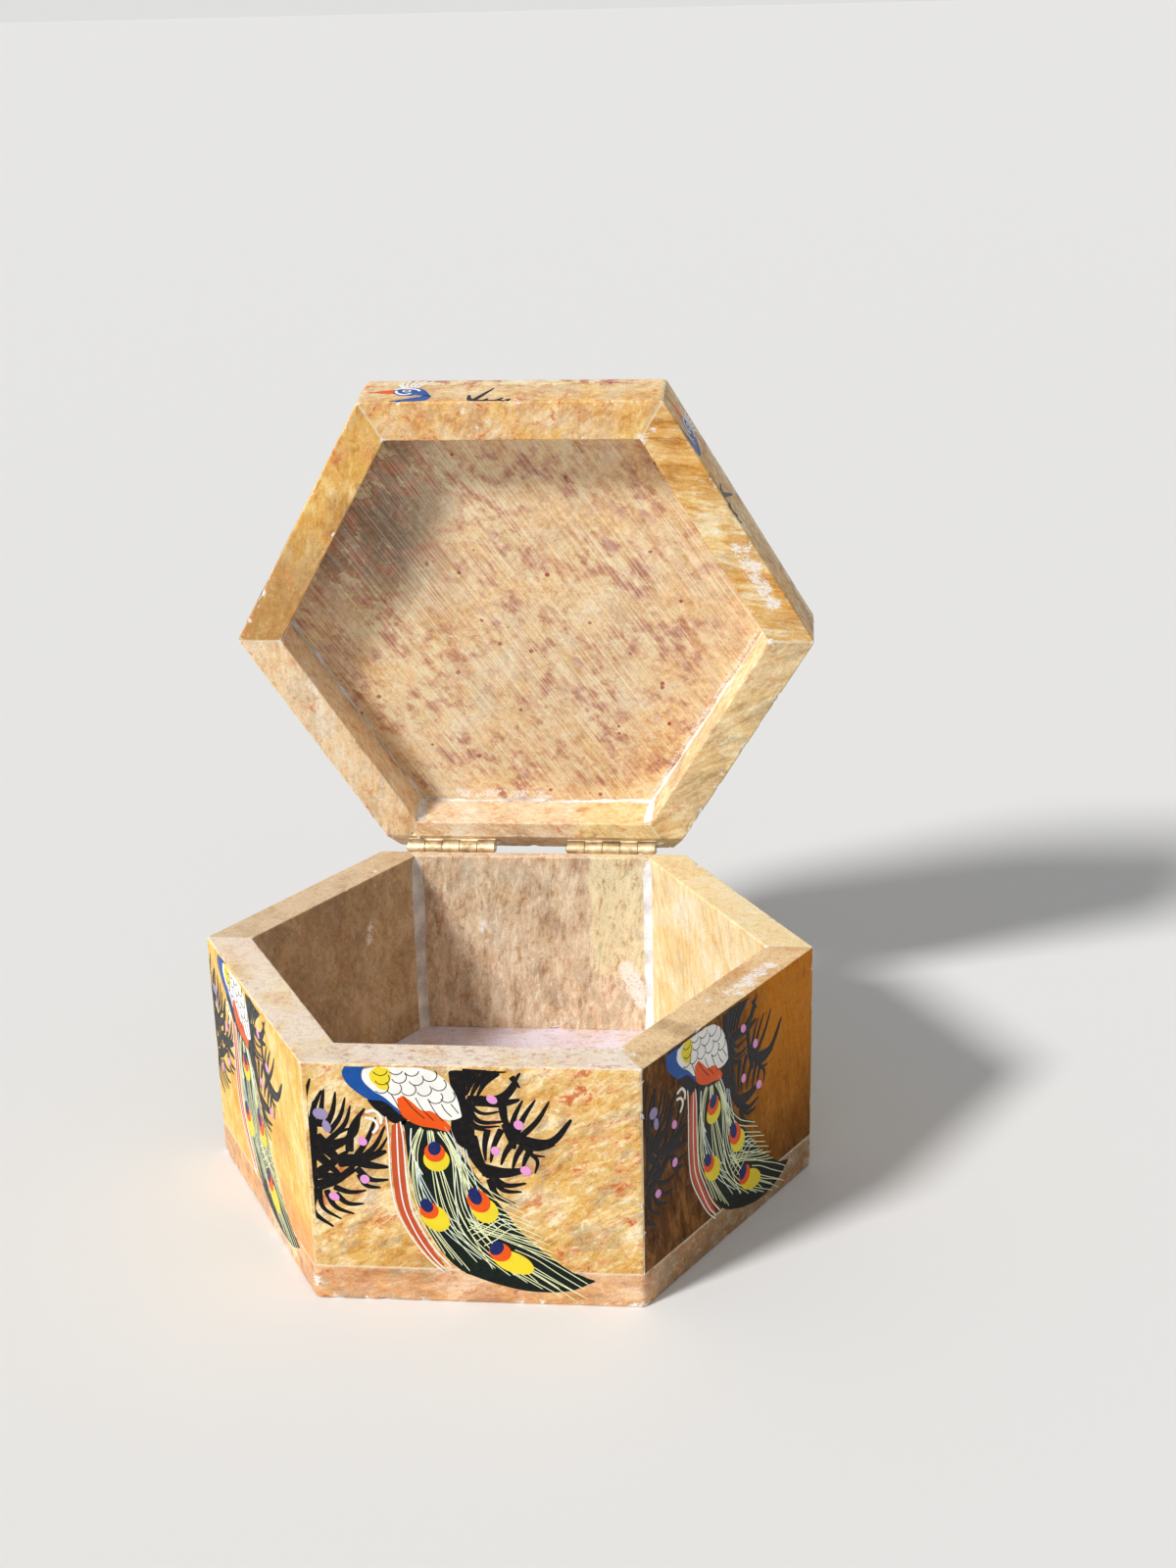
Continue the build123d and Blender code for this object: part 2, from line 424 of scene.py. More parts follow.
    link(polish + sawn * 0.20 + white * 0.2 + rim_face * 0.1, shader, "Roughness")
    raise_surface(shader, 0.6, grain * 0.012 + flames * 0.03 + fibres * 0.03 + scored * cut * 0.05)
    return material


def finish_piece(piece, material, slot_name, body_name, *nodes):
    """Gives a piece its material, hides the CAD nodes it stands for and puts it in its body; slot_name is
    not used.
    """
    piece.data.materials.append(material)
    if nodes:
        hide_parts(*nodes)
    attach(piece, body_name)


base_points, base_quads, base_marks = plate(0.0, slab_top, foot_round, glued_edge, 11)
at_seam = bell(slab_top - base_points[..., 2], glue_line)
base_marks["seam"] = np.where(base_marks["sawn"] < 0.5, at_seam, 0)
foot_nicks = [(x, -43.3, 0.2, 0.9) for x in (-22, -17, -8.5, -3, 6, 9.5, 15, 19, 23)]
foot_nicks += [(-25, -43.3, 3, 1.6), (25, -43.3, 0, 1.5), (-49.5, 0, 0, 1.5), (49.5, 0, 1, 1.5)]
base_marks["bruise"] += scuffed(base_points, foot_nicks)
bottom_slab = mesh_piece("stone_bottom_slab", base_points, base_quads, marks=base_marks)
bottom_stone = soapstone(
    "bottom_soapstone",
    deep=(0.58, 0.30, 0.15),
    body=(0.76, 0.45, 0.25),
    pale=(0.90, 0.66, 0.44),
    rust=(0.50, 0.17, 0.08),
    streak=8,
    offset=3.0,
    patch=((25, 29), (-99, -90), (0.34, 0.20, 0.09)),
    ragged_by=3.0,
    saw=(90, 0.5),
    film=((0.84, 0.80, 0.96), 1.0),
)
finish_piece(bottom_slab, bottom_stone, "stone_base", "box", "bottom_slab")


# The six walls
# Strips of soapstone slab, 6.7 mm thick, mitred at 30 degrees and glued edge to edge on the bottom slab.
# Each is from another piece of stone. The outer faces are rubbed smooth for the painting, the inner ones
# keep the saw's marks, and the rim is flat, with small white chips along its edges. The front right wall's
# near-black browns are partly its own amber-brown and partly painted shade, with a painted amber glow of
# light through the stone towards its upper right; the white along its rim is partly a painted highlight.

wall_low, wall_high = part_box("wall_front")
wall = wall_high.y - wall_low.y
rim = wall_high.z
inner_apothem = apothem - wall
edge_round = 0.28 * mm
bevel_edge = 0.2 * mm
bevel_in = 4.7 * mm
bevel_down = 3.7 * mm
side_names = ["back_right", "back", "back_left", "front_left", "front", "front_right"]

white_scuffs_and_highlight = [(x, y, 40, radius) for x, y, radius in [
    (-25, -43.3, 0.8), (25, -43.3, 0.7), (-21.2, -36.7, 0.9), (21.4, -36.8, 1.2), (23.5, -38.5, 0.9),
    (-6.5, -37.6, 0.7), (-5.2, -38.6, 0.7), (-3.6, -39.8, 0.6), (-49.6, 0, 0.8), (-47.5, -3.8, 0.6),
    # Painted highlight: these wide marks along the front right rim are partly white scratches, partly a
    # sheen of light.
    (36.6, -17.4, 1.3), (38.2, -14.8, 1.6), (39.8, -12, 1.6), (41.2, -9.6, 1.5), (42.6, -7.2, 1.4),
    (31.5, -23.5, 0.7), (33.6, -20.4, 0.9), (30, 33.6, 0.7), (34, 26, 0.7),
]]
white_scuffs_and_highlight += [(x, y, 40.1, radius) for x, y, radius in [
    (-7.6, -41.7, 0.8), (38.6, -17.4, 0.8), (40.2, -14.2, 0.9), (41.8, -10.4, 0.8), (43.4, -7.2, 0.9),
    (49.6, 0, 0.6), (42.3, 0, 0.9), (-42.3, 0, 0.8), (36, 16, 0.6), (-27, 29, 0.7),
]]
white_scuffs_and_highlight += [
    (16.8, 36.6, 18.5, 2), (17.8, 36.6, 16, 2.3), (18.8, 36.6, 13.5, 2), (19.6, 36.6, 11, 1.4),
    (-9, 36.6, 27, 1), (-9.6, 36.6, 25.5, 0.8), (-27.7, 25.2, 31, 1.2), (-27.9, 24.9, 28.5, 1.3),
]


def rounded_outline(corners, radii, densities):
    """Closed outline in (out, up): eased straight runs, joined by quarter rounds at the corners.

    It also gives each point's outward normal and its distance to the nearest corner."""
    corners = np.array(corners)
    ahead = np.roll(corners, -1, 0) - corners
    ahead /= np.linalg.norm(ahead, axis=1, keepdims=True)
    points = []
    for number, here in enumerate(corners):
        following = (number + 1) % len(corners)
        into, away, onward = ahead[number - 1], ahead[number], ahead[following]
        half = math.acos(np.clip(into @ away, -1, 1)) / 2
        half_after = math.acos(np.clip(away @ onward, -1, 1)) / 2
        cut = radii[number] * math.tan(half)
        cut_after = radii[following] * math.tan(half_after)
        normal = np.array([into[1], -into[0]])
        centre = here - into * cut - normal * radii[number]
        spread = np.linspace(0, 2 * half, 6)[:, None]
        points.append(centre + radii[number] * (normal * np.cos(spread) + into * np.sin(spread)))
        t = (eased(densities[number])[1:-1, None] + 1) / 2
        points.append((here + away * cut) * (1 - t) + (corners[following] - away * cut_after) * t)
    outline = np.concatenate(points)
    ahead = np.roll(outline, -1, 0) - np.roll(outline, 1, 0)
    ahead /= np.linalg.norm(ahead, axis=1, keepdims=True)
    normals = np.stack([ahead[:, 1], -ahead[:, 0]], 1)
    to_corners = np.linalg.norm(outline[:, None] - corners[None], axis=2).min(1)
    return outline, normals, to_corners


def strip(number, outline, normals, to_corners, seed, chips=1.0):
    """Mitred strip: the outline carried along one side of the hexagon, each point as far as its own mitre.

    A point at distance d out from the middle runs from -d tan 30 to d tan 30 along the side. Near its end
    it draws in by r - sqrt(r^2 - b^2), where b is how far it is past the start of the corner's round."""
    worn_edge, worn_mitre, worn_depth = 0.55 * mm, 0.8 * mm, 0.22 * mm
    out, along = side_axes(number)
    reach = outline[:, 0] * math.tan(math.pi / 6)
    x = eased(110)[:, None] * reach[None]
    to_end = (reach[None] - abs(x)) * math.cos(math.pi / 6)
    past = np.clip(corner_round * math.tan(math.pi / 6) - to_end, 0, None)
    drop = corner_round - np.sqrt(corner_round**2 - past**2)
    outside = np.clip(normals[:, 0], 0, 1)[None] * (outline[:, 0] > outline[:, 0].max() - 1 * mm)
    points = (outline[None, :, 0] - drop * outside)[..., None] * out + x[..., None] * along
    points[..., 2] = outline[None, :, 1]
    near_long = np.exp(-to_corners / worn_edge)[None]
    near_end = np.exp(-to_end / worn_mitre) * outside
    depth = chips * chip_depth(points, 5) * np.maximum(near_long, near_end)
    outward = normals[:, 0, None] * out + normals[:, 1, None] * np.array([0, 0, 1.0])
    waves = 0.006 * mm * rough(points, 9 * mm, 2, seed)
    points += outward[None] * (waves - depth)[..., None]
    marks = {
        "bruise": depth / worn_depth + scuffed(points, white_scuffs_and_highlight),
        "seam": bell(to_end, 0.13 * mm),
        "sawn": np.clip(-normals[:, 0], 0, 1)[None] + 0 * x,
        "rim": np.where(abs(normals[:, 1]) > 0.8, 1.0, 0.0)[None] + 0 * x,
    }
    return points, marks


def close_ends(points):
    """Two more points, the middles of the end outlines, and the triangles that close the ends to them."""
    rows, columns = points.shape[:2]
    flat = points.reshape(-1, 3)
    middles = np.stack([points[0].mean(0), points[-1].mean(0)])
    first, last = len(flat), len(flat) + 1
    c = np.arange(columns)
    after = (c + 1) % columns
    top = (rows - 1) * columns
    start = [(first, a, b) for a, b in zip(after.tolist(), c.tolist())]
    end = [(last, top + a, top + b) for a, b in zip(c.tolist(), after.tolist())]
    return np.concatenate([flat, middles]), start + end


def rework(piece, step):
    """Runs one step on a piece's mesh."""
    work = bmesh.new()
    work.from_mesh(piece.data)
    step(work)
    work.to_mesh(piece.data)
    work.free()


def merge_points(work):
    """Joins points that a bevel pushed onto each other."""
    too_close = 0.002 * mm
    bmesh.ops.remove_doubles(work, verts=work.verts, dist=too_close)
    bmesh.ops.dissolve_degenerate(work, edges=work.edges, dist=too_close / 2)


def strip_piece(name, points, marks):
    """A strip's points and marks as an object, with closed ends."""
    quads = lattice_faces(*points.shape[:2])[:, ::-1]
    points, ends = close_ends(points)
    marks = {key: np.append(values.ravel(), [0.0, 0.0]) for key, values in marks.items()}
    piece = mesh_piece(name, points, quads, ends, marks)
    rework(piece, merge_points)
    return piece


def wall_piece(number):
    """One wall of the box, its top pushed down to the bevel where that runs past it."""
    corners = [(apothem, slab_top), (apothem, rim), (inner_apothem, rim), (inner_apothem, slab_top)]
    radii = [glued_edge, edge_round, edge_round, glued_edge]
    densities = [70, 26, 60, 10]
    if side_names[number] == "back":
        corners[1:2] = [(apothem, rim - bevel_down), (apothem - bevel_in, rim)]
        radii[1:2] = [bevel_edge, bevel_edge]
        densities = [60, 24, 14, 60, 10]
    points, marks = strip(number, *rounded_outline(corners, radii, densities), 20 + number)
    at_slab = bell(points[..., 2] - slab_top, glue_line) * (marks["sawn"] < 0.5)
    marks["seam"] = np.maximum(marks["seam"], at_slab)
    slope = rim - (points[..., 1] - (apothem - bevel_in)) * bevel_down / bevel_in
    points[..., 2] = np.minimum(points[..., 2], np.maximum(slope, slab_top))
    return strip_piece("stone_wall_" + side_names[number], points, marks)


def facing_turn(number):
    """The turn that brings a side of the hexagon to the front."""
    return Matrix.Rotation(-math.radians(60 * number + 120), 3, "Z")


wall_looks = {
    "front": dict(streak=32, mottled=0.75, rusty=1.0, rim_film=((1.0, 0.93, 0.87), 0.8)),
    "front_right": dict(
        # Painted shade: these near-black browns are partly the wall's own amber-brown and partly shade
        # painted in.
        deep=(0.075, 0.030, 0.009),
        body=(0.14, 0.058, 0.014),
        pale=(0.28, 0.13, 0.035),
        greyed=0.0,
        rusty=0.1,
        streak=100,
        # Painted glow: the amber patch is light through the stone, painted in, rising towards the top and
        # right end.
        patch=((-4, 14), (-2, 36), (0.74, 0.25, 0.001)),
        mottled=0.6,
        amber=((1.0, 0.8, 0.5), 0.4),
        shine=0.03,
        rim_film=((0.95, 0.72, 0.42), 0.97),
    ),
    "front_left": dict(
        deep=(0.76, 0.42, 0.06),
        body=(0.86, 0.57, 0.11),
        pale=(0.96, 0.77, 0.33),
        greyed=0.15,
        rusty=0.35,
        streak=108,
        drawn=3.0,
        patch=((-20, 8), (16, 8), (0.82, 0.36, 0.12)),
        rim_film=((1.0, 0.93, 0.87), 0.8),
    ),
    "back": dict(
        deep=(0.52, 0.36, 0.23),
        body=(0.76, 0.60, 0.41),
        pale=(0.94, 0.80, 0.60),
        rust=(0.58, 0.28, 0.13),
        rusty=0.35,
        greyed=0.5,
        streak=95,
        drawn=3.6,
        mottled=0.8,
        patch=((-10, -11), (16, 18), (1.0, 0.92, 0.58)),
        saw=(86, 0.4),
        amber=((1.0, 0.92, 0.78), 0.5),
        scoring=0.2,
        ragged_by=4.0,
        rim_film=((0.96, 0.78, 0.60), 0.6),
    ),
    "back_left": dict(
        deep=(0.36, 0.24, 0.125),
        body=(0.48, 0.335, 0.185),
        pale=(0.64, 0.50, 0.31),
        rusty=0.15,
        greyed=0.3,
        streak=80,
        drawn=1.5,
        scoring=0.15,
        amber=((1.0, 0.85, 0.6), 0.5),
        rim_film=((0.88, 0.70, 0.48), 0.75),
    ),
    "back_right": dict(
        deep=(0.84, 0.64, 0.30),
        body=(0.96, 0.81, 0.46),
        pale=(1.0, 0.94, 0.72),
        rusty=0.1,
        greyed=0.15,
        streak=70,
        saw=(88, 0.5),
        mottled=0.3,
        rim_film=((1.0, 0.83, 0.52), 0.6),
    ),
}
inner_film = ((0.82, 0.74, 0.62), 0.12)
for number, side_name in enumerate(side_names):
    stone = soapstone(
        "soapstone_" + side_name,
        turn=facing_turn(number),
        offset=31.0 * number,
        film=inner_film,
        **wall_looks[side_name],
    )
    finish_piece(wall_piece(number), stone, "stone", "box", "wall_" + side_name)


# The lid
# A thinner six-sided slab on a mitred rim of six strips, which leave a shallow recess. The lid is made
# as it lies closed and then turned open about the hinge pins.

pin_middle = Vector(frame["joints"][0]["pos_m"])
lid_gap = 0.1 * mm
rim_height = 8.0 * mm
top_thickness = 3.2 * mm
lid_bottom = rim + lid_gap
recess_floor = lid_bottom + rim_height
lid_top = recess_floor + top_thickness
top_round = 1.2 * mm
lid_bevel_in = 3.75 * mm
lid_bevel_up = 2.85 * mm
opening_turn = Matrix.Rotation(-math.radians(80), 3, "X")


def opened(points):
    """Points of the closed lid, turned open about the pins."""
    pin = np.array(pin_middle)
    return (points - pin) @ np.array(opening_turn).T + pin


def lid_frame(turn):
    """The turn and shift that bring the open lid's coordinates back to the closed lid's, turned."""
    closing_turn = opening_turn.transposed()
    return {"turn": turn @ closing_turn, "shift": turn @ (pin_middle - closing_turn @ pin_middle)}


lid_points, lid_quads, lid_marks = plate(recess_floor, lid_top, glued_edge, top_round, 47, rings=30)
lid_marks["sawn"] = np.where(lid_points[..., 2] < recess_floor + 0.1 * mm, lid_marks["sawn"], 0.0)

# Cement smeared on the slab along its two joints at the back and at the back right, as for scuffed
smear_height = 48.1
smear = [
    (x, 35.2 + 0.5 * math.sin(x), smear_height, 0.7 + 0.4 * math.sin(1.3 * x))
    for x in np.arange(-15, 4, 0.7)
]
smear += [(31.2 - 0.5 * t, 18.0 + 0.866 * t, smear_height, 0.6) for t in np.arange(-19, 20, 0.8)]
smear += [(33.0, -5.0, smear_height, 0.9)]
lid_marks["bruise"] = np.maximum(lid_marks["bruise"], 0.95 * scuffed(lid_points, smear))
lid_slab = mesh_piece("stone_lid_top", opened(lid_points), lid_quads, marks=lid_marks)
lid_stone = soapstone(
    "lid_soapstone",
    **lid_frame(Matrix.Rotation(math.radians(90), 3, "X")),
    deep=(0.84, 0.56, 0.28),
    body=(0.98, 0.76, 0.45),
    pale=(1.0, 0.88, 0.62),
    rusty=0.25,
    grey=(0.66, 0.54, 0.44),
    greyed=0.3,
    streak=36,
    drawn=1.5,
    blotch=(0.70, 0.33, 0.19),
    saw=(57, 0.24),
    scoring=1.0,
    # Painted shadow: the dark patch by the front and front left strips is partly their shadow, partly a
    # stain.
    patch=((-8, -24), (3, -15), (0.16, 0.10, 0.075)),
    ragged_by=7.0,
    amber=((1.0, 0.88, 0.66), 0.6),
)
finish_piece(lid_slab, lid_stone, "stone_lid", "lid", "lid_top_slab")


def rim_strip(number):
    """One strip of the lid's rim, its lower edge pushed up to the bevel where that runs past it.

    The three back strips have ragged cement along their joint with the slab."""
    corners = [(apothem, lid_bottom), (apothem, recess_floor)]
    corners += [(inner_apothem, recess_floor), (inner_apothem, lid_bottom)]
    radii = [edge_round, glued_edge, glued_edge, edge_round]
    densities = [34, 10, 24, 26]
    if side_names[number] == "back":
        corners[0:1] = [(apothem - lid_bevel_in, lid_bottom), (apothem, lid_bottom + lid_bevel_up)]
        radii[0:1] = [bevel_edge, bevel_edge]
        densities = [22, 26, 10, 24, 16]
    points, marks = strip(number, *rounded_outline(corners, radii, densities), 40 + number, chips=1.2)
    at_slab = bell(points[..., 2] - recess_floor, 0.10 * mm) * (marks["sawn"] < 0.5) * 0.7
    marks["seam"] = np.maximum(marks["seam"], at_slab)
    if side_names[number].startswith("back"):
        joint = bell(recess_floor - points[..., 2], 0.55 * mm) * (marks["sawn"] > 0.5)
        patchy = 0.55 + 0.9 * rough(points, 4 * mm, 3, 90 + number)
        marks["bruise"] = np.maximum(marks["bruise"], joint * np.clip(patchy, 0, 1.2))
    slope = lid_bottom + (points[..., 1] - (apothem - lid_bevel_in)) * lid_bevel_up / lid_bevel_in
    points[..., 2] = np.maximum(points[..., 2], np.minimum(slope, recess_floor))
    return strip_piece("stone_rim_" + side_names[number], opened(points), marks)


rim_looks = {
    "front": dict(
        deep=(0.72, 0.42, 0.18),
        body=(0.90, 0.64, 0.34),
        pale=(0.97, 0.84, 0.56),
        grey=(0.66, 0.50, 0.38),
        greyed=0.35,
        rusty=0.9,
        streak=60,
        drawn=2,
        amber=((1.0, 0.86, 0.50), 0.9),
    ),
    "front_right": dict(
        deep=(0.56, 0.27, 0.06),
        body=(0.82, 0.50, 0.17),
        pale=(0.98, 0.84, 0.54),
        greyed=0.2,
        rusty=0.2,
        streak=50,
        drawn=6,
        mottled=0.5,
    ),
    "front_left": dict(
        deep=(0.62, 0.33, 0.09),
        body=(0.82, 0.53, 0.18),
        pale=(0.94, 0.76, 0.40),
        greyed=0.25,
        streak=15,
        drawn=2.5,
        mottled=0.3,
        patch=((8, -14), (-99, -90), (0.56, 0.31, 0.11)),
    ),
    "back": dict(
        deep=(0.80, 0.56, 0.34),
        body=(0.96, 0.77, 0.54),
        pale=(0.99, 0.90, 0.72),
        rusty=0.55,
        greyed=0.3,
        patch=((-6, -9), (-90, -80), (0.99, 0.80, 0.38)),
        amber=((1.0, 0.92, 0.74), 0.5),
    ),
    "back_left": dict(
        deep=(0.76, 0.52, 0.30),
        body=(0.94, 0.73, 0.48),
        pale=(0.99, 0.87, 0.68),
        rusty=0.6,
        greyed=0.35,
        amber=((1.0, 0.9, 0.7), 0.5),
    ),
    "back_right": dict(
        deep=(0.62, 0.44, 0.22),
        body=(0.84, 0.64, 0.36),
        pale=(0.98, 0.86, 0.58),
        rusty=0.35,
        amber=((1.0, 0.92, 0.70), 0.6),
    ),
}
for number, side_name in enumerate(side_names):
    stone = soapstone(
        "rim_soapstone_" + side_name,
        **lid_frame(facing_turn(number)),
        offset=17.0 * number + 9,
        about=(0, 0, 1),
        **rim_looks[side_name],
    )
    finish_piece(rim_strip(number), stone, "stone", "lid", "lid_rim_" + side_name)


# The cement
# Grey-white cement in the six inner corners of the box and of the lid, in a thin line along three joints
# of the lid's recess, and as crumbs pressed out beside the hinge leaves where they enter the stone.


def bead(line, first_foot, last_foot, seed):
    """Lumpy bead along a line of corner points: the quadratic curve from one foot to the other.

    The curve's middle is pulled towards the corner."""
    pull = 0.21 * (first_foot + last_foot)
    s = np.linspace(0, 1, 9)[None, :, None]
    curve = first_foot[:, None] * (1 - s) ** 2 + 2 * pull[:, None] * s * (1 - s) + last_foot[:, None] * s**2
    proud = pull / np.linalg.norm(pull, axis=1, keepdims=True)
    curve = curve + line[:, None]
    lumps = 0.05 * mm * rough(curve, 1.1 * mm, 3, seed)[..., None] * np.sin(math.pi * s)
    return np.concatenate([curve + proud[:, None] * lumps, line[:, None]], 1)


def wandering(line, width, swing, size, seed):
    """Widths along a line that wander by noise, never quite nothing."""
    return np.clip(width + swing * rough(line, size, 3, seed), 0.1 * mm, None)[:, None]


def corner_bead(number, low, high, count, seed, width=1.15 * mm):
    """Bead up an inner corner, narrower near the top, with a foot on each of the two walls."""
    corner = inner_apothem / math.cos(math.pi / 6) * heading(60 * number)
    heights = np.linspace(low, high, count)[:, None]
    line = corner + heights * np.array([0, 0, 1.0])
    taper = smooth_step(0, 1, (high - heights) / (2.2 * mm)) * 0.6 + 0.4
    feet = []
    for hand, turn in enumerate((120, -120)):
        widths = wandering(line, width, 0.25 * width, 6 * mm, seed + hand)
        feet.append(widths * taper * heading(60 * number + turn))
    return bead(line, *feet, seed)


def joint_bead(number, seed):
    """Thin ragged bead along the joint of the lid's slab with one strip."""
    out, along = side_axes(number)
    reach = inner_apothem * math.tan(math.pi / 6)
    line = inner_apothem * out + np.linspace(-reach, reach, 150)[:, None] * along
    line[:, 2] = recess_floor
    down = wandering(line, 0.25 * mm, 0.4 * mm, 3 * mm, seed) * np.array([0, 0, -1.0])
    inwards = wandering(line, 0.28 * mm, 0.5 * mm, 3.5 * mm, seed + 1) * -out
    return bead(line, down, inwards, seed)


def crumb(middle, radii, seed):
    """Crumb of cement: a ball stretched to its radii, with noise on it."""
    polar = np.linspace(0.2, math.pi - 0.2, 11)[:, None]
    turn = np.linspace(0, 2 * math.pi, 18, endpoint=False)[None]
    parts = np.cos(polar), np.sin(polar) * np.cos(turn), np.sin(polar) * np.sin(turn)
    ball = np.stack(np.broadcast_arrays(*parts), -1)
    swell = 1 + 0.3 * rough(ball + seed, 0.6, 2, seed)
    return (np.array(middle) + ball * np.array(radii) * swell[..., None]) * mm


def joined(grids):
    """Several tubes as one set of points and faces, with their ends closed."""
    points, quads, ends, start = [], [], [], 0
    for grid in grids:
        quads.append(lattice_faces(*grid.shape[:2]) + start)
        flat, caps = close_ends(grid)
        points.append(flat)
        ends += [tuple(index + start for index in cap) for cap in caps]
        start += len(flat)
    return np.concatenate(points), np.concatenate(quads), ends


def cement_material():
    """Matt cement: grey-white, dirtier in patches, with fine grit, and darker towards the left as painted
    shade.
    """
    material, tree, shader = surface(
        "grey_white_cement", Subsurface_Weight=0.05, Subsurface_Scale=0.001
    )
    own = local_coordinates(tree)
    grit = noise(own, 0.3, 3, 0.7)
    # Painted shade: the tone drops towards the left (-x), where the inner corners lie in shade.
    across = node(tree, "SeparateXYZ", {}, {"Vector": own}, 0)
    tone = noise(own, 5, 4, 0.6) * 0.7 + grit * 0.3 + between(across, -10, 20, -0.03, 0.07)
    colour = ramp(
        tone, (0.38, (0.52, 0.48, 0.44)), (0.5, (0.74, 0.72, 0.70)), (0.62, (0.92, 0.91, 0.90))
    )
    link(colour, shader, "Base Color")
    link(between(grit, 0.3, 0.7, 0.7, 0.9), shader, "Roughness")
    raise_surface(shader, 0.5, grit * 0.06)
    return material


cement = cement_material()
bead_stop = 0.5 * mm
box_beads = [corner_bead(n, slab_top, rim - bead_stop, 90, 60 + n) for n in range(6)]
lid_beads = [
    corner_bead(n, lid_bottom + bead_stop, recess_floor, 26, 80 + n, width * mm)
    for n, width in enumerate([0.8, 1.0, 1.0, 0.4, 0.45, 0.35])
]
lid_beads += [joint_bead(n, 100 + 7 * n) for n in range(3)]
box_crumbs = [
    ((19.5, 39.0, 39.66), (0.42, 0.3, 0.26)),
    ((-7.0, 41.2, 38.0), (0.6, 0.5, 0.3)),
    ((5.8, 40.6, 38.4), (0.4, 0.5, 0.3)),
    ((-23.6, 41.4, 37.8), (0.5, 0.6, 0.3)),
]
lid_crumbs = [
    ((-21.1, 39.9, 40.42), (0.4, 0.3, 0.3)),
    ((22.7, 41.2, 41.4), (0.9, 0.5, 0.3)),
    ((-6.9, 41.5, 41.6), (0.5, 0.5, 0.3)),
]
crumbs = [crumb(*shape, seed) for seed, shape in enumerate(box_crumbs + lid_crumbs, 1)]
for name, lumps, body_name, cad_nodes in (
    ("cement_in_box_corners", box_beads, "box", ["corner_cement_box"]),
    ("cement_in_lid_corners", lid_beads, "lid", ["corner_cement_lid"]),
    ("cement_crumbs_box", crumbs[: len(box_crumbs)], "box", []),
    ("cement_crumbs_lid", crumbs[len(box_crumbs) :], "lid", []),
):
    points, quads, ends = joined(lumps)
    if body_name == "lid":
        points = opened(points)
    cement_object = mesh_piece(name, points, quads, ends)
    rework(cement_object, lambda work: bmesh.ops.recalc_face_normals(work, faces=work.faces))
    finish_piece(cement_object, cement, "cement", body_name, *cad_nodes)


# The hinges
# Two small butt hinges of rolled brass strip, each with five knuckles on a 1.2 mm pin. They are the
# CAD's own solids, with an aged satin finish.


def brass_material():
    """Aged brass: pale gold, browner in patches, with drawn scratches along the barrel."""
    material, tree, shader = surface("aged_brass", Metallic=1.0)
    own = local_coordinates(tree)
    tarnish = noise(own, 2.2, 5, 0.65, 0.4)
    scratches = noise(stretched(own, 0, 12), 0.25, 3, 0.6)
    colour = ramp(
        tarnish, (0.36, (0.50, 0.38, 0.22)), (0.5, (0.74, 0.60, 0.39)), (0.64, (0.85, 0.75, 0.56))
    )
    link(colour, shader, "Base Color")
    link(between(tarnish + scratches * 0.3, 0.4, 0.9, 0.42, 0.60), shader, "Roughness")
    raise_surface(shader, 0.35, scratches * 0.02)
    return material


brass = brass_material()
for node_name, cad_object in frame["nodes"].items():
    if node_name.startswith("hinge"):
        cad_object.data.materials.clear()
        cad_object.data.materials.append(cement if "cement" in node_name else brass)


# The painting
# Enamel, laid on the rubbed stone with a fine brush: on each side a peacock among pine twigs, whose head is
# on the lid's rim. Every dab stands a few hundredths of a millimetre proud, and later ones lie on top.
# Its curves are (across, down) millimetres from the top left corner of a side, and up from the lid's rim.

buried = -0.03
inks = {
    "black": (0.006, 0.005, 0.006),
    "tail": (0.004, 0.010, 0.008),
    "blue": (0.008, 0.080, 0.33),
    "deep blue": (0.010, 0.020, 0.12),
    "yellow": (0.84, 0.66, 0.03),
    "orange": (0.82, 0.095, 0.007),
    "brick": (0.55, 0.085, 0.03),
    "white": (0.90, 0.88, 0.82),
    "pink": (0.80, 0.33, 0.66),
    "lilac": (0.33, 0.27, 0.46),
    "straw": (0.82, 0.85, 0.50),
    "sky": (0.66, 0.80, 0.78),
}
tremor = np.random.default_rng(11)


def through(points, count, ease=0.0):
    """A smooth curve through given points.

    Between two it is the cubic whose slopes are half the neighbours' step."""
    points = np.asarray(points, float)
    padded = np.concatenate([2 * points[:1] - points[1:2], points, 2 * points[-1:] - points[-2:-1]])
    place = (eased(count, ease) + 1) / 2 * (len(points) - 1)
    cell = np.minimum(place.astype(int), len(points) - 2)
    t = (place - cell)[:, None]
    a, b, c, d = (padded[cell + k] for k in range(4))
    return b + 0.5 * t * (c - a + t * (2 * a - 5 * b + 4 * c - d + t * (3 * b - a - 3 * c + d)))


def dab(flat, height, ink):
    """A grid of (across, down) and heights in one ink, sunk at its border and turned to face out."""
    height[[0, -1]] = buried
    height[:, [0, -1]] = buried
    along = np.gradient(flat, axis=0)
    across = np.gradient(flat, axis=1)
    if (along[..., 0] * across[..., 1] - along[..., 1] * across[..., 0]).sum() > 0:
        flat, height = flat[:, ::-1], height[:, ::-1]
    return np.concatenate([flat, height[..., None]], 2), ink


def level_height(level):
    """How far the paint of a level stands off the stone, in millimetres."""
    return 0.018 + 0.009 * level


def fill(low, high, ink, level, count=44, across=16):
    """Shape between two edge curves: each row a straight blend from one to the other."""
    t = np.concatenate([[0, 0.025], np.linspace(0.07, 0.93, across - 4), [0.975, 1]])
    low, high = through(low, count, 0.9), through(high, count, 0.9)
    flat = low[:, None] * (1 - t)[None, :, None] + high[:, None] * t[None, :, None]
    return dab(flat, np.full(flat.shape[:2], level_height(level)), ink)


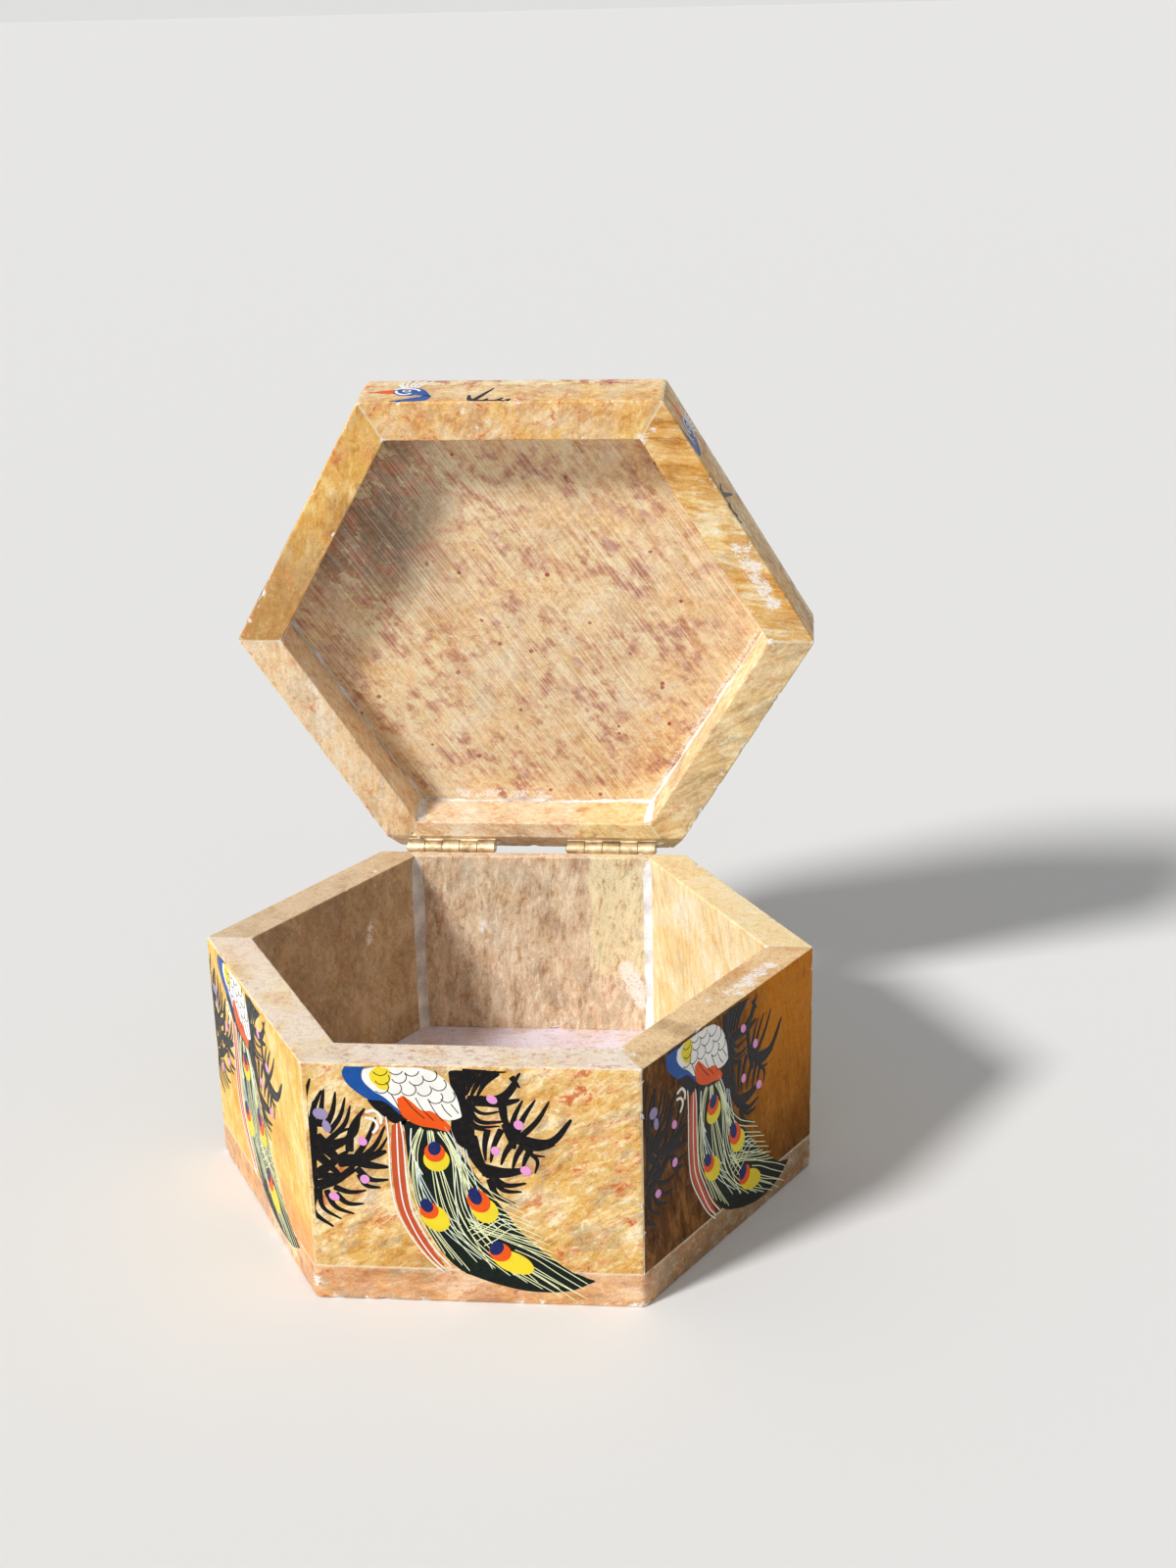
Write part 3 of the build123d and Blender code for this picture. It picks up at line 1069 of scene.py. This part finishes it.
def oval(centre, radii, tilt, ink, level):
    """Oval: a fill between its lower and upper half."""
    turn = np.radians(np.linspace(180, 360, 13))
    c, s = math.cos(math.radians(tilt)), math.sin(math.radians(tilt))
    halves = []
    for sign in (1, -1):
        x, y = radii[0] * np.cos(turn), sign * radii[1] * np.sin(turn)
        halves.append(np.stack([centre[0] + c * x - s * y, centre[1] + s * x + c * y], 1))
    return fill(*halves, ink, level, 26, 14)


def brush(points, width, ink, level, claw=False, count=18):
    """Brush stroke: a ribbon along a curve, square to it, as wide as the brush or drawn out to a point."""
    line = through(points, count)
    t = np.linspace(0, 1, count)
    if claw:
        breadth = width * np.minimum(1, t / 0.08 + 0.2) ** 0.5 * (1 - t + 0.005) ** 0.45
    else:
        breadth = width * np.minimum(1, np.minimum(t, 1 - t) / 0.05 + 0.15) ** 0.5
    ahead = np.gradient(line, axis=0)
    ahead /= np.linalg.norm(ahead, axis=1, keepdims=True) + 1e-9
    aside = np.stack([-ahead[:, 1], ahead[:, 0]], 1)
    spread = np.array([-0.5, -0.4, 0.0, 0.4, 0.5])
    flat = line[:, None] + aside[:, None] * (breadth[:, None] * spread)[..., None]
    height = level_height(level) + 0.012 * np.array([-1, 0, 1, 0, -1]) + 0 * flat[..., 0]
    return dab(flat, height, ink)


def bent(start_x, start_y, end_x, end_y, bend):
    """Three points of a bow from start to end, its middle pushed aside by bend times the length."""
    start, end = np.array([start_x, start_y]), np.array([end_x, end_y])
    aside = np.array([start_y - end_y, end_x - start_x])
    return [start, (start + end) / 2 + bend * aside, end]


def sheaf(first, last, count, ink):
    """Barbs of the tail, spread evenly between two outer ones, each with its points shaken a little."""
    first, last = np.array(first, float), np.array(last, float)
    strokes = []
    for share in np.linspace(0, 1, count):
        points = first * (1 - share) + last * share + tremor.normal(0, 0.12, first.shape)
        strokes.append(brush(points, 0.17, ink, 3, count=22))
    return strokes


dabs = []
needle_press = 1.55
left_pine = [
    (0.9, 11.7, 1.5, 2.2, -0.1, 0.9), (1.3, 11, 3.1, 4.2, -0.08, 0.9), (2.2, 10.7, 3.4, 4, 0, 0.8),
    (3, 11, 5.1, 4.4, 0.06, 0.8), (3.5, 11.6, 6.5, 5.3, 0.08, 0.7), (4.1, 12.3, 7.2, 6.6, 0.1, 0.7),
    (4, 13.2, 8.6, 8.2, 0.22, 0.7), (6.5, 14.8, 9.4, 7, -0.1, 1), (7.4, 15.5, 10.9, 8.4, 0.05, 0.8),
    (7.8, 16.1, 12.2, 9.9, 0.08, 0.8), (8.3, 16.1, 12.6, 11.6, 0.1, 0.6), (3.5, 14.2, 8, 9.6, 0.12, 1),
    (4.4, 16.2, 12.4, 14.2, 0.05, 1.7), (1.3, 12, 5.5, 16.8, 0, 1.8), (1, 14.3, 5.4, 19.1, 0, 1.3),
    (1, 18.9, 6.6, 14.2, 0, 1.3), (1.2, 20.6, 7.7, 16.1, 0.1, 1.3), (6.5, 15.8, 12.5, 17, 0.05, 1.3),
    (7.3, 17.1, 12.4, 19.1, 0.2, 0.9), (7.7, 18.1, 11.1, 20.5, 0.25, 0.8),
    (3.7, 20.5, 8.9, 21, 0.12, 0.8), (3.9, 21.5, 8.4, 23.3, 0.2, 0.8),
    (2.6, 20.9, 6.9, 25.2, 0.2, 0.8), (1.6, 20.6, 4.9, 26.2, 0.22, 0.7),
    (1.3, 20.6, 3.6, 27.6, 0.28, 0.9), (1.4, 9.4, 1.2, 22.3, 0.02, 1.1),
    (2.1, 18.9, 7.6, 17.4, 0.1, 1.2), (1.5, 9, 1.7, 6.2, 0, 0.8), (2, 13, 7, 12.2, 0.1, 1.1),
    (3.4, 13, 6.9, 10.6, -0.1, 0.8),
]
right_pine = [
    (23.2, 0.4, 23.4, 9.3, 0, 2), (23.1, 5.7, 24.7, 15.4, 0, 2.1), (24.4, 11.2, 27.3, 18.6, 0.05, 1.9),
    (24.8, 0.8, 23.6, 4.6, 0, 1), (26.2, 0.6, 24.3, 4.9, 0.03, 0.9), (27.8, 0.6, 24.9, 5.2, 0.05, 0.9),
    (29.3, 0.7, 25.7, 5.4, 0.08, 0.8), (23.7, 0.7, 30.5, 0.8, 0.02, 0.6),
    (24.1, 5.4, 32.6, 0.6, 0.22, 1), (25, 5.7, 32.2, 2.4, 0.2, 1.2), (25.9, 5.4, 32.4, 5.2, 0.1, 1.3),
    (24, 5.6, 30, 8.9, 0.28, 0.8), (23.8, 6.2, 29.4, 9.7, 0.3, 0.6), (24.1, 5.2, 29.6, 7.2, 0.25, 0.6),
    (23.7, 8.3, 28, 10.5, 0.15, 0.6), (25, 9.6, 25.7, 15, 0.05, 0.6),
    (27.3, 10.2, 26.8, 15.7, 0.05, 0.8), (29.4, 10, 27.5, 16, 0.05, 0.8),
    (30.9, 12.3, 29, 16.3, 0.05, 0.8), (32.5, 12.6, 30.7, 16.9, 0.05, 0.8),
    (33.6, 13.3, 32.2, 16.8, 0.05, 0.8), (30.6, 11.7, 32.7, 5.1, -0.06, 0.8),
    (31.2, 11.7, 34.6, 5, -0.04, 0.8), (31.8, 11.7, 36.6, 5.2, 0.06, 0.8),
    (30.9, 11.7, 39.9, 8, 0.26, 1.3), (31.5, 11.8, 37.4, 12.5, 0.2, 0.8),
    (32.3, 12.2, 35.8, 14.6, 0.22, 0.6), (30.6, 11.4, 34.3, 12.3, 0.1, 1.2),
    (26, 17, 33, 16.8, 0.08, 1.7), (32.9, 13.6, 34, 17.6, -0.25, 0.6),
    (27, 17.6, 32.9, 19.1, 0.2, 0.9), (27.5, 18.1, 32.2, 20.6, 0.22, 0.8),
    (27.2, 18.3, 31.2, 22.8, 0.2, 0.9), (31, 1.5, 32.3, 3.4, 0, 0.7), (30.2, 9, 31.2, 13.6, 0, 1.5),
    (29.6, 6.2, 31.2, 11, 0.1, 1),
]
for *ends, breadth in left_pine + right_pine:
    dabs.append(brush(bent(*ends), breadth * needle_press, "black", 0, claw=True))

tail_low = [
    (14.5, 9), (14.9, 10.7), (15, 14), (15.3, 17.9), (15.8, 21.8), (16.8, 25.8), (18.2, 29),
    (20, 32.1), (22.1, 34.3), (24.7, 35.6), (28.5, 36.9), (33.2, 37.8), (38.5, 37.5), (42.5, 35.7),
]
tail_high = [
    (21.9, 10), (22.5, 12.8), (24, 15.7), (25.7, 18.5), (27.5, 21), (29.7, 24.2), (31.2, 26.6),
    (32.8, 28.5), (34.6, 30.3), (36.6, 32), (38.6, 33.6), (40, 34.5), (41.5, 35.1), (42.6, 35.5),
]
dabs.append(fill(tail_low, tail_high, "tail", 1, 60, 20))
breast_low = [(9.7, 5.9), (10.7, 7.3), (12.2, 8.7), (13.4, 9.6), (15, 9.9)]
breast_high = [(10.2, 5.3), (12.2, 5.4), (13.4, 6.6), (14.6, 7.8), (15.6, 8.9)]
rump_low = [(22, 8.4), (21.9, 10.4), (22.6, 12.6)]
rump_high = [(23.9, 8), (24.2, 11), (24.6, 14.6)]
band_low = [
    (13.1, 9.9), (12.8, 14), (12.8, 19), (13.2, 23.2), (14.1, 26.2), (15.6, 29.1), (17.4, 31.9),
    (19.3, 33.8),
]
band_high = [
    (14.5, 9.2), (14.7, 14), (14.7, 18.9), (15.1, 23.5), (16, 26.4), (17.4, 29.4), (18.9, 32),
    (19.9, 33.6),
]
for low, high, ink, level in (
    (breast_low, breast_high, "black", 1),
    (rump_low, rump_high, "black", 1),
    (band_low, band_high, "brick", 2),
):
    dabs.append(fill(low, high, ink, level))

long_lines = [
    [
        (12.3, 8.3), (12.5, 10.8), (12.5, 14.7), (12.5, 19.3), (13, 23.6), (14.1, 26.8), (15.9, 30.1),
        (18, 33), (20, 34.9),
    ],
    [
        (13.9, 9.2), (13.8, 13.4), (13.8, 18.6), (14.2, 23.2), (15.2, 26.5), (16.5, 29.4),
        (18.2, 32.2), (20, 34.3),
    ],
    [
        (14.4, 9), (14.7, 12), (14.8, 16), (15, 20.5), (15.5, 24.1), (16.9, 27.7), (18.7, 31),
        (21.2, 34.1),
    ],
    [(16, 10.2), (15.8, 13.2), (16.3, 15.8), (17.4, 18.2)],
]
sky_line = [[(20.9, 9.8), (22.5, 13), (23.2, 16.4)]]
claws = [
    [(9.3, 7.9), (10.7, 7.6), (11.6, 8.6), (11.5, 9.8)],
    [(9.2, 8.8), (10.5, 9.1), (11, 10.2), (10.2, 11.4)],
]
for lines, width, ink in ((long_lines, 0.26, "white"), (sky_line, 0.26, "sky"), (claws, 0.5, "white")):
    for line in lines:
        dabs.append(brush(line, width, ink, 4, count=50))

straw_sheaves = [
    (
        [(17.3, 9.9), (15.6, 14), (15.4, 22), (19.4, 31.6)],
        [(18, 9.9), (16.6, 16), (18.4, 26), (24.3, 35.4)],
        5,
    ),
    (
        [(18.3, 10), (18.6, 17), (20.2, 26), (25.6, 33.6)],
        [(19.2, 10), (20.4, 17), (25.2, 30), (38.3, 39.2)],
        6,
    ),
    (
        [(19.6, 10.3), (21.5, 15), (22.6, 24), (27.5, 35)],
        [(20.6, 10.3), (23.6, 17), (27, 29), (42.2, 39.2)],
        5,
    ),
    (
        [(20.6, 10.8), (23, 15), (26.4, 20), (32, 23.4)],
        [(21.2, 11.2), (22.8, 17), (25.6, 25), (37.4, 31.2)],
        7,
    ),
]
sky_sheaves = [
    (
        [(22.8, 12.7), (22.3, 17), (22, 22), (22.6, 27)],
        [(23.8, 13.2), (24.8, 18), (26.4, 23), (31.2, 27.4)],
        4,
    ),
    (
        [(16.2, 15.4), (17.4, 19), (19.8, 24), (23, 27)],
        [(16.4, 15.8), (17, 22), (20.5, 28), (26, 32.6)],
        4,
    ),
]
crossing_sheaves = [
    (
        [(23.2, 25), (26, 26.4), (29, 27.6), (33, 28.4)],
        [(24, 27.2), (28, 28.4), (32, 30.2), (37.6, 32.6)],
        5,
    ),
    (
        [(23.4, 27.6), (25.8, 26.2), (28, 24.6), (30, 24.4)],
        [(25.6, 30.2), (28, 28.4), (30, 27.2), (32, 27)],
        4,
    ),
    (
        [(28.8, 31.4), (32.6, 34), (36.4, 36.8), (40, 39.2)],
        [(31, 29.6), (34, 31), (37.6, 33.6), (41.8, 36.4)],
        4,
    ),
]
for sheaves, ink in ((straw_sheaves, "straw"), (sky_sheaves, "sky"), (crossing_sheaves, "straw")):
    for first, last, count in sheaves:
        dabs += sheaf(first, last, count, ink)

eyes = [
    ((19.5, 15.5), (1.95, 2.05), 0, (19.3, 14.3), (1.55, 1.65), (19.3, 13.6), (0.95, 1.2)),
    ((18.9, 25.4), (1.9, 2.6), -35, (18, 24.1), (1.4, 1.6), (17.7, 23.3), (0.9, 1.25)),
    ((26.4, 23.9), (1.9, 2.3), -30, (25.5, 22.3), (1.65, 2.15), (25, 21.5), (0.95, 1.55)),
    ((30.3, 32.7), (3.3, 1.8), 24, (28.4, 31), (1.7, 1.65), (27.9, 30.3), (1, 1.35)),
]
for cup, cup_radii, tilt, middle, middle_radii, heart, heart_radii in eyes:
    dabs.append(oval(cup, cup_radii, tilt, "yellow", 5))
    dabs.append(oval(middle, middle_radii, tilt, "orange", 6))
    dabs.append(oval(heart, heart_radii, tilt + 10, "deep blue", 7))

back_low = [
    (9.3, 0.9), (9.2, 2.9), (11.2, 4.9), (13.6, 6.9), (15.6, 7.4), (17.6, 7.9), (19.6, 8.6), (22, 8.9),
    (23.4, 8.4),
]
back_high = [
    (11.1, 0.4), (13.2, 0.4), (15.3, 0.4), (17.2, 0.4), (19.1, 0.7), (20.8, 1.7), (22.2, 3.2),
    (23.1, 5.4), (23.6, 8.2),
]
dabs.append(fill(back_low, back_high, "white", 4, 60, 18))
wing_low = [(14.1, 5.5), (14.5, 7.9), (15.8, 9.2), (17.5, 10), (19.5, 10.3), (21.6, 10.9)]
wing_high = [(15.1, 4.9), (16.3, 5.9), (17.8, 7.3), (19.2, 7.4), (20.8, 8.7), (21.9, 10)]
shoulder_low = [(11.3, 0.4), (10.3, 1.3), (10.4, 2.6), (11.7, 4)]
shoulder_high = [(11.9, 0.4), (13.2, 0.7), (13.5, 2), (12.8, 4.2)]
neck_low = [(6.6, 0.4), (6.2, 1.5), (6.7, 3), (8, 4.4), (9.8, 5.7), (12.3, 6.1), (14.5, 8.2)]
neck_high = [(11.2, 0.4), (9.6, 0.6), (9.1, 1.7), (9.5, 2.9), (10.7, 4.2), (12.5, 5.5), (14.7, 7.8)]
dabs.append(fill(wing_low, wing_high, "orange", 5))
dabs.append(fill(shoulder_low, shoulder_high, "yellow", 5))
dabs.append(fill(neck_low, neck_high, "blue", 5))
scales = [
    (11.9, 0.7), (14.2, 0.5), (16.5, 0.7), (19.1, 1.5), (12.1, 2.2), (14.6, 1.9), (17.1, 2.2),
    (20.4, 3), (11.9, 3.6), (13.8, 3.8), (15.9, 3.9), (18.2, 3.9), (19.8, 5.1), (21.6, 4.9),
]
for x, y in scales:
    turn = np.radians(56 + np.linspace(-104, 104, 9) + tremor.normal(0, 4))
    scale = np.stack([x + 1.12 * np.cos(turn), y + 1.05 * np.sin(turn)], 1)
    dabs.append(brush(scale[scale[:, 1] > 0.4], 0.17, "black", 6, count=20))
feathers = [
    [(13.3, 4.7), (14, 6.1), (14.4, 7.1)],
    [(15, 5), (16.4, 7), (18.3, 8.9)],
    [(16.8, 5.1), (17.8, 7.1), (19.6, 9.2)],
    [(18.6, 5.2), (19.6, 7.4), (20.9, 9.2)],
    [(20.6, 6.1), (21.2, 7.3), (22.2, 8.4)],
    [(22, 6.1), (23.2, 7.8)],
]
for feather in feathers:
    dabs.append(brush(feather, 0.17, "black", 6))

blossoms = [(28.1, 5.3), (31.9, 9.4), (28.3, 13.8), (32.7, 17), (8.6, 12.7), (8.6, 19.1), (3.8, 22.2)]
for number, centre in enumerate(blossoms):
    radii = (0.85 - 0.05 * (number % 3), 0.68 + 0.06 * (number % 2))
    dabs.append(oval(centre, radii, 35 + 20 * (number % 3), "pink", 3))
dabs.append(oval((2.6, 8.3), (1.15, 0.95), 20, "lilac", 3))
dabs.append(oval((3.4, 10.4), (0.6, 1.1), -15, "lilac", 2))

cheek_low = [(5.1, 5.3), (6, 6.4), (7.5, 6.9), (9.3, 6.6), (10.7, 5.3), (11.8, 2.8)]
cheek_high = [(5.3, 4.2), (6.5, 3.2), (8.1, 2.9), (9.3, 3.1), (10.2, 3), (11.7, 2.4)]
crest_low = [(11.8, 3.1), (10.7, 3.3), (9.9, 2.5), (8.7, 1.9), (6.9, 1.1), (5.4, 0.5)]
crest_high = [(11.9, 2.4), (11.3, 0.9), (9.8, 0.4), (8, 0.35), (6.3, 0.35), (5.3, 0.35)]
head_dabs = [
    fill(cheek_low, cheek_high, "blue", 1),
    fill(crest_low, crest_high, "blue", 1),
    fill([(2.0, 4.55), (3.4, 5.3), (5.2, 5.7)], [(2.1, 4.4), (3.7, 4.0), (5.5, 3.9)], "orange", 2),
    brush([(1.3, 4.5), (2.6, 4.5)], 0.3, "brick", 3),
    oval((7.5, 5.2), (0.75, 0.6), 0, "white", 2),
    oval((7.5, 5.2), (0.42, 0.34), 0, "deep blue", 3),
    brush([(5.7, 5.6), (6.0, 4.3), (7.3, 3.5), (8.6, 4.3)], 0.6, "white", 2),
    brush([(5.2, 5.8), (6.9, 6.4), (9.0, 6.0), (9.8, 5.0)], 0.6, "white", 2),
    brush([(9.6, 3.6), (8.6, 2.7), (7.0, 2.4), (5.9, 2.2)], 0.16, "sky", 2),
]
for tip_x, tip_y in ((5.9, 8.6), (6.4, 9.5), (7.5, 10.0), (8.8, 10.1), (10.2, 10.0), (11.5, 9.5)):
    root_x = 7.0 + 0.34 * (tip_x - 5.9)
    head_dabs.append(brush(bent(root_x, 6.6, tip_x, tip_y, 0.12), 0.48, "white", 2))
twigs = [
    (18.7, 0.5, 18.1, 3.4, 0.05), (19, 0.5, 22, 6.7, 0), (20.9, 0.5, 21.4, 1.6, 0),
    (22.8, 0.5, 24, 1.9, 0), (24.4, 0.5, 25.2, 1.3, 0),
]
for ends in twigs:
    head_dabs.append(brush(bent(*ends), 1.15, "black", 0, claw=True))
head_dabs.append(brush([(18.5, 0.6), (21.0, 0.6), (24.4, 0.55)], 0.6, "black", 0))


def assembled(pieces):
    """All dabs as one set of points in millimetres, quads and point colours."""
    points, quads, colours, start = [], [], [], 0
    for grid, ink in pieces:
        rows, columns = grid.shape[:2]
        quads.append(lattice_faces(rows, columns, closed=False) + start)
        points.append(grid.reshape(-1, 3))
        colours.append(np.broadcast_to((*inks[ink], 1.0), (rows * columns, 4)))
        start += rows * columns
    return np.concatenate(points), np.concatenate(quads), np.concatenate(colours)


def side_painting(drawn, number):
    """The painting's points as laid on one side: across, down or up, and their height.

    Every side but the front one is warped by up to about 0.35 mm of slow noise, as by another go with
    the brush."""
    warp, warp_size = 0.35, 11
    warp_at = np.concatenate([drawn[:, :2], np.full((len(drawn), 1), 70.0 * number)], 1)
    moved = drawn.copy()
    if side_names[number] != "front":
        moved[:, 0] += warp * rough(warp_at, warp_size, 2, 3)
        moved[:, 1] += warp * rough(warp_at, warp_size, 2, 4)
    return moved


def enamel():
    """Enamel of the dab's own colour, a little streaked and thinner where the brush ran dry."""
    material, tree, shader = surface("enamel", IOR=1.4, Specular_IOR_Level=0.2)
    own = local_coordinates(tree)
    streaks = noise(own, 0.8, 4, 0.6, 0.4)
    paint_colour = node(tree, "Attribute", {"attribute_name": "paint"}, {}, 0)
    colour = blend(between(streaks, 0.50, 0.75, 0.0, 0.04), paint_colour, (0.42, 0.26, 0.12))
    colour = blend(between(noise(own, 2.5, 3), 0.4, 0.65, 0.0, 0.25), colour, (0.7, 0.7, 0.7), "MULTIPLY")
    link(colour, shader, "Base Color")
    link(between(streaks, 0.3, 0.7, 0.26, 0.44), shader, "Roughness")
    raise_surface(shader, 0.4, streaks * 0.02)
    return material


paint = enamel()
clear_across = (0.75, 49.2)
clear_down = (0.33, 39.5)

# Where the back's painting starts, in millimetres, and how far it is squeezed to clear the bevels
back_squeeze = {"box": (4.1, 0.885), "lid": (3.1, 0.68)}
for part, pieces, body_name in (("painting_", dabs, "box"), ("painting_head_", head_dabs, "lid")):
    drawn, quads, colours = assembled(pieces)
    for number, side_name in enumerate(side_names):
        u, v, height = side_painting(drawn, number).T
        if side_name == "back":
            start, squeeze = back_squeeze[body_name]
            v = start + squeeze * v
        u = np.clip(u, *clear_across) * mm
        v = np.clip(v, *clear_down) * mm
        out, along = side_axes(number)
        points = (apothem + height[:, None] * mm) * out + (u - side / 2)[:, None] * along
        points[:, 2] = rim - v if body_name == "box" else lid_bottom + v
        if body_name == "lid":
            points = opened(points)
        painting = mesh_piece(part + side_name, points, quads, marks={"paint": colours})
        finish_piece(painting, paint, "paint", body_name)


# The table, the light and the camera
# A pale table in a pale room, under a soft lamp from the upper left and a faint one from the right, seen
# from the photograph's place. The table is only staged: it isn't a piece of the box.

table_reach = 30.0
table_corners = [(x * table_reach, y * table_reach, 0) for x, y in ((-1, -1), (1, -1), (1, 1), (-1, 1))]
table_mesh = bpy.data.meshes.new("pale_table")
table_mesh.from_pydata(table_corners, [], [(0, 1, 2, 3)])
table = bpy.data.objects.new("pale_table", table_mesh)
bpy.context.scene.collection.objects.link(table)
table_mesh.materials.append(surface("pale_table", Base_Color=(0.82, 0.81, 0.79, 1), Roughness=0.8)[0])

world = bpy.data.worlds.new("soft_room")
world.use_nodes = True
room = world.node_tree
ambient = room.nodes["Background"]
ambient.inputs["Color"].default_value = (0.95, 0.97, 1.0, 1)
ambient.inputs["Strength"].default_value = 0.31
seen_room = node(room, "Background", {}, {"Color": (0.745, 0.742, 0.731, 1)})
seen_by = sum(
    node(room, "LightPath", {}, {}, ray) for ray in ("Is Camera Ray", "Is Glossy Ray", "Is Transmission Ray")
)
mixed = node(room, "MixShader", {}, {0: seen_by, 1: Wire(room, ambient.outputs[0]), 2: seen_room})
link(mixed, room.nodes["World Output"], "Surface")
bpy.context.scene.world = world


def direction(azimuth, elevation):
    """Unit vector towards an azimuth, from the front towards the right, and an elevation, in degrees."""
    a, e = math.radians(azimuth), math.radians(elevation)
    return Vector((math.sin(a) * math.cos(e), -math.cos(a) * math.cos(e), math.sin(e)))


def sun_lamp(name, azimuth, elevation, strength, softness):
    """A distant lamp that shines from an azimuth and elevation."""
    lamp = bpy.data.lights.new(name, "SUN")
    lamp.energy = strength
    lamp.angle = math.radians(softness)
    holder = bpy.data.objects.new(name, lamp)
    bpy.context.scene.collection.objects.link(holder)
    holder.rotation_euler = direction(azimuth, elevation).to_track_quat("Z", "Y").to_euler()


sun_lamp("key", -48, 36, 3.3, 10)
sun_lamp("fill", 30, 60, 0.15, 60)

towards_camera = direction(5.5, 20.24)
view_roll = -0.0238
view_distance = 6.781 * side
aim = Vector((0.2813 * side, 0, 1.3533 * side))
focus_pixels = 2184.9
height_pixels = 1600
sensor = 36
camera_data = bpy.data.cameras.new("camera")
camera_data.sensor_width = sensor
camera_data.lens = sensor * focus_pixels / height_pixels
camera_data.clip_start = 0.01
camera = bpy.data.objects.new("camera", camera_data)
bpy.context.scene.collection.objects.link(camera)
camera.location = aim + towards_camera * view_distance
upright = towards_camera.to_track_quat("Z", "Y").to_matrix()
camera.rotation_euler = (upright @ Matrix.Rotation(view_roll, 3, "Z")).to_euler()
bpy.context.scene.camera = camera
bpy.context.scene.view_settings.view_transform = "Standard"
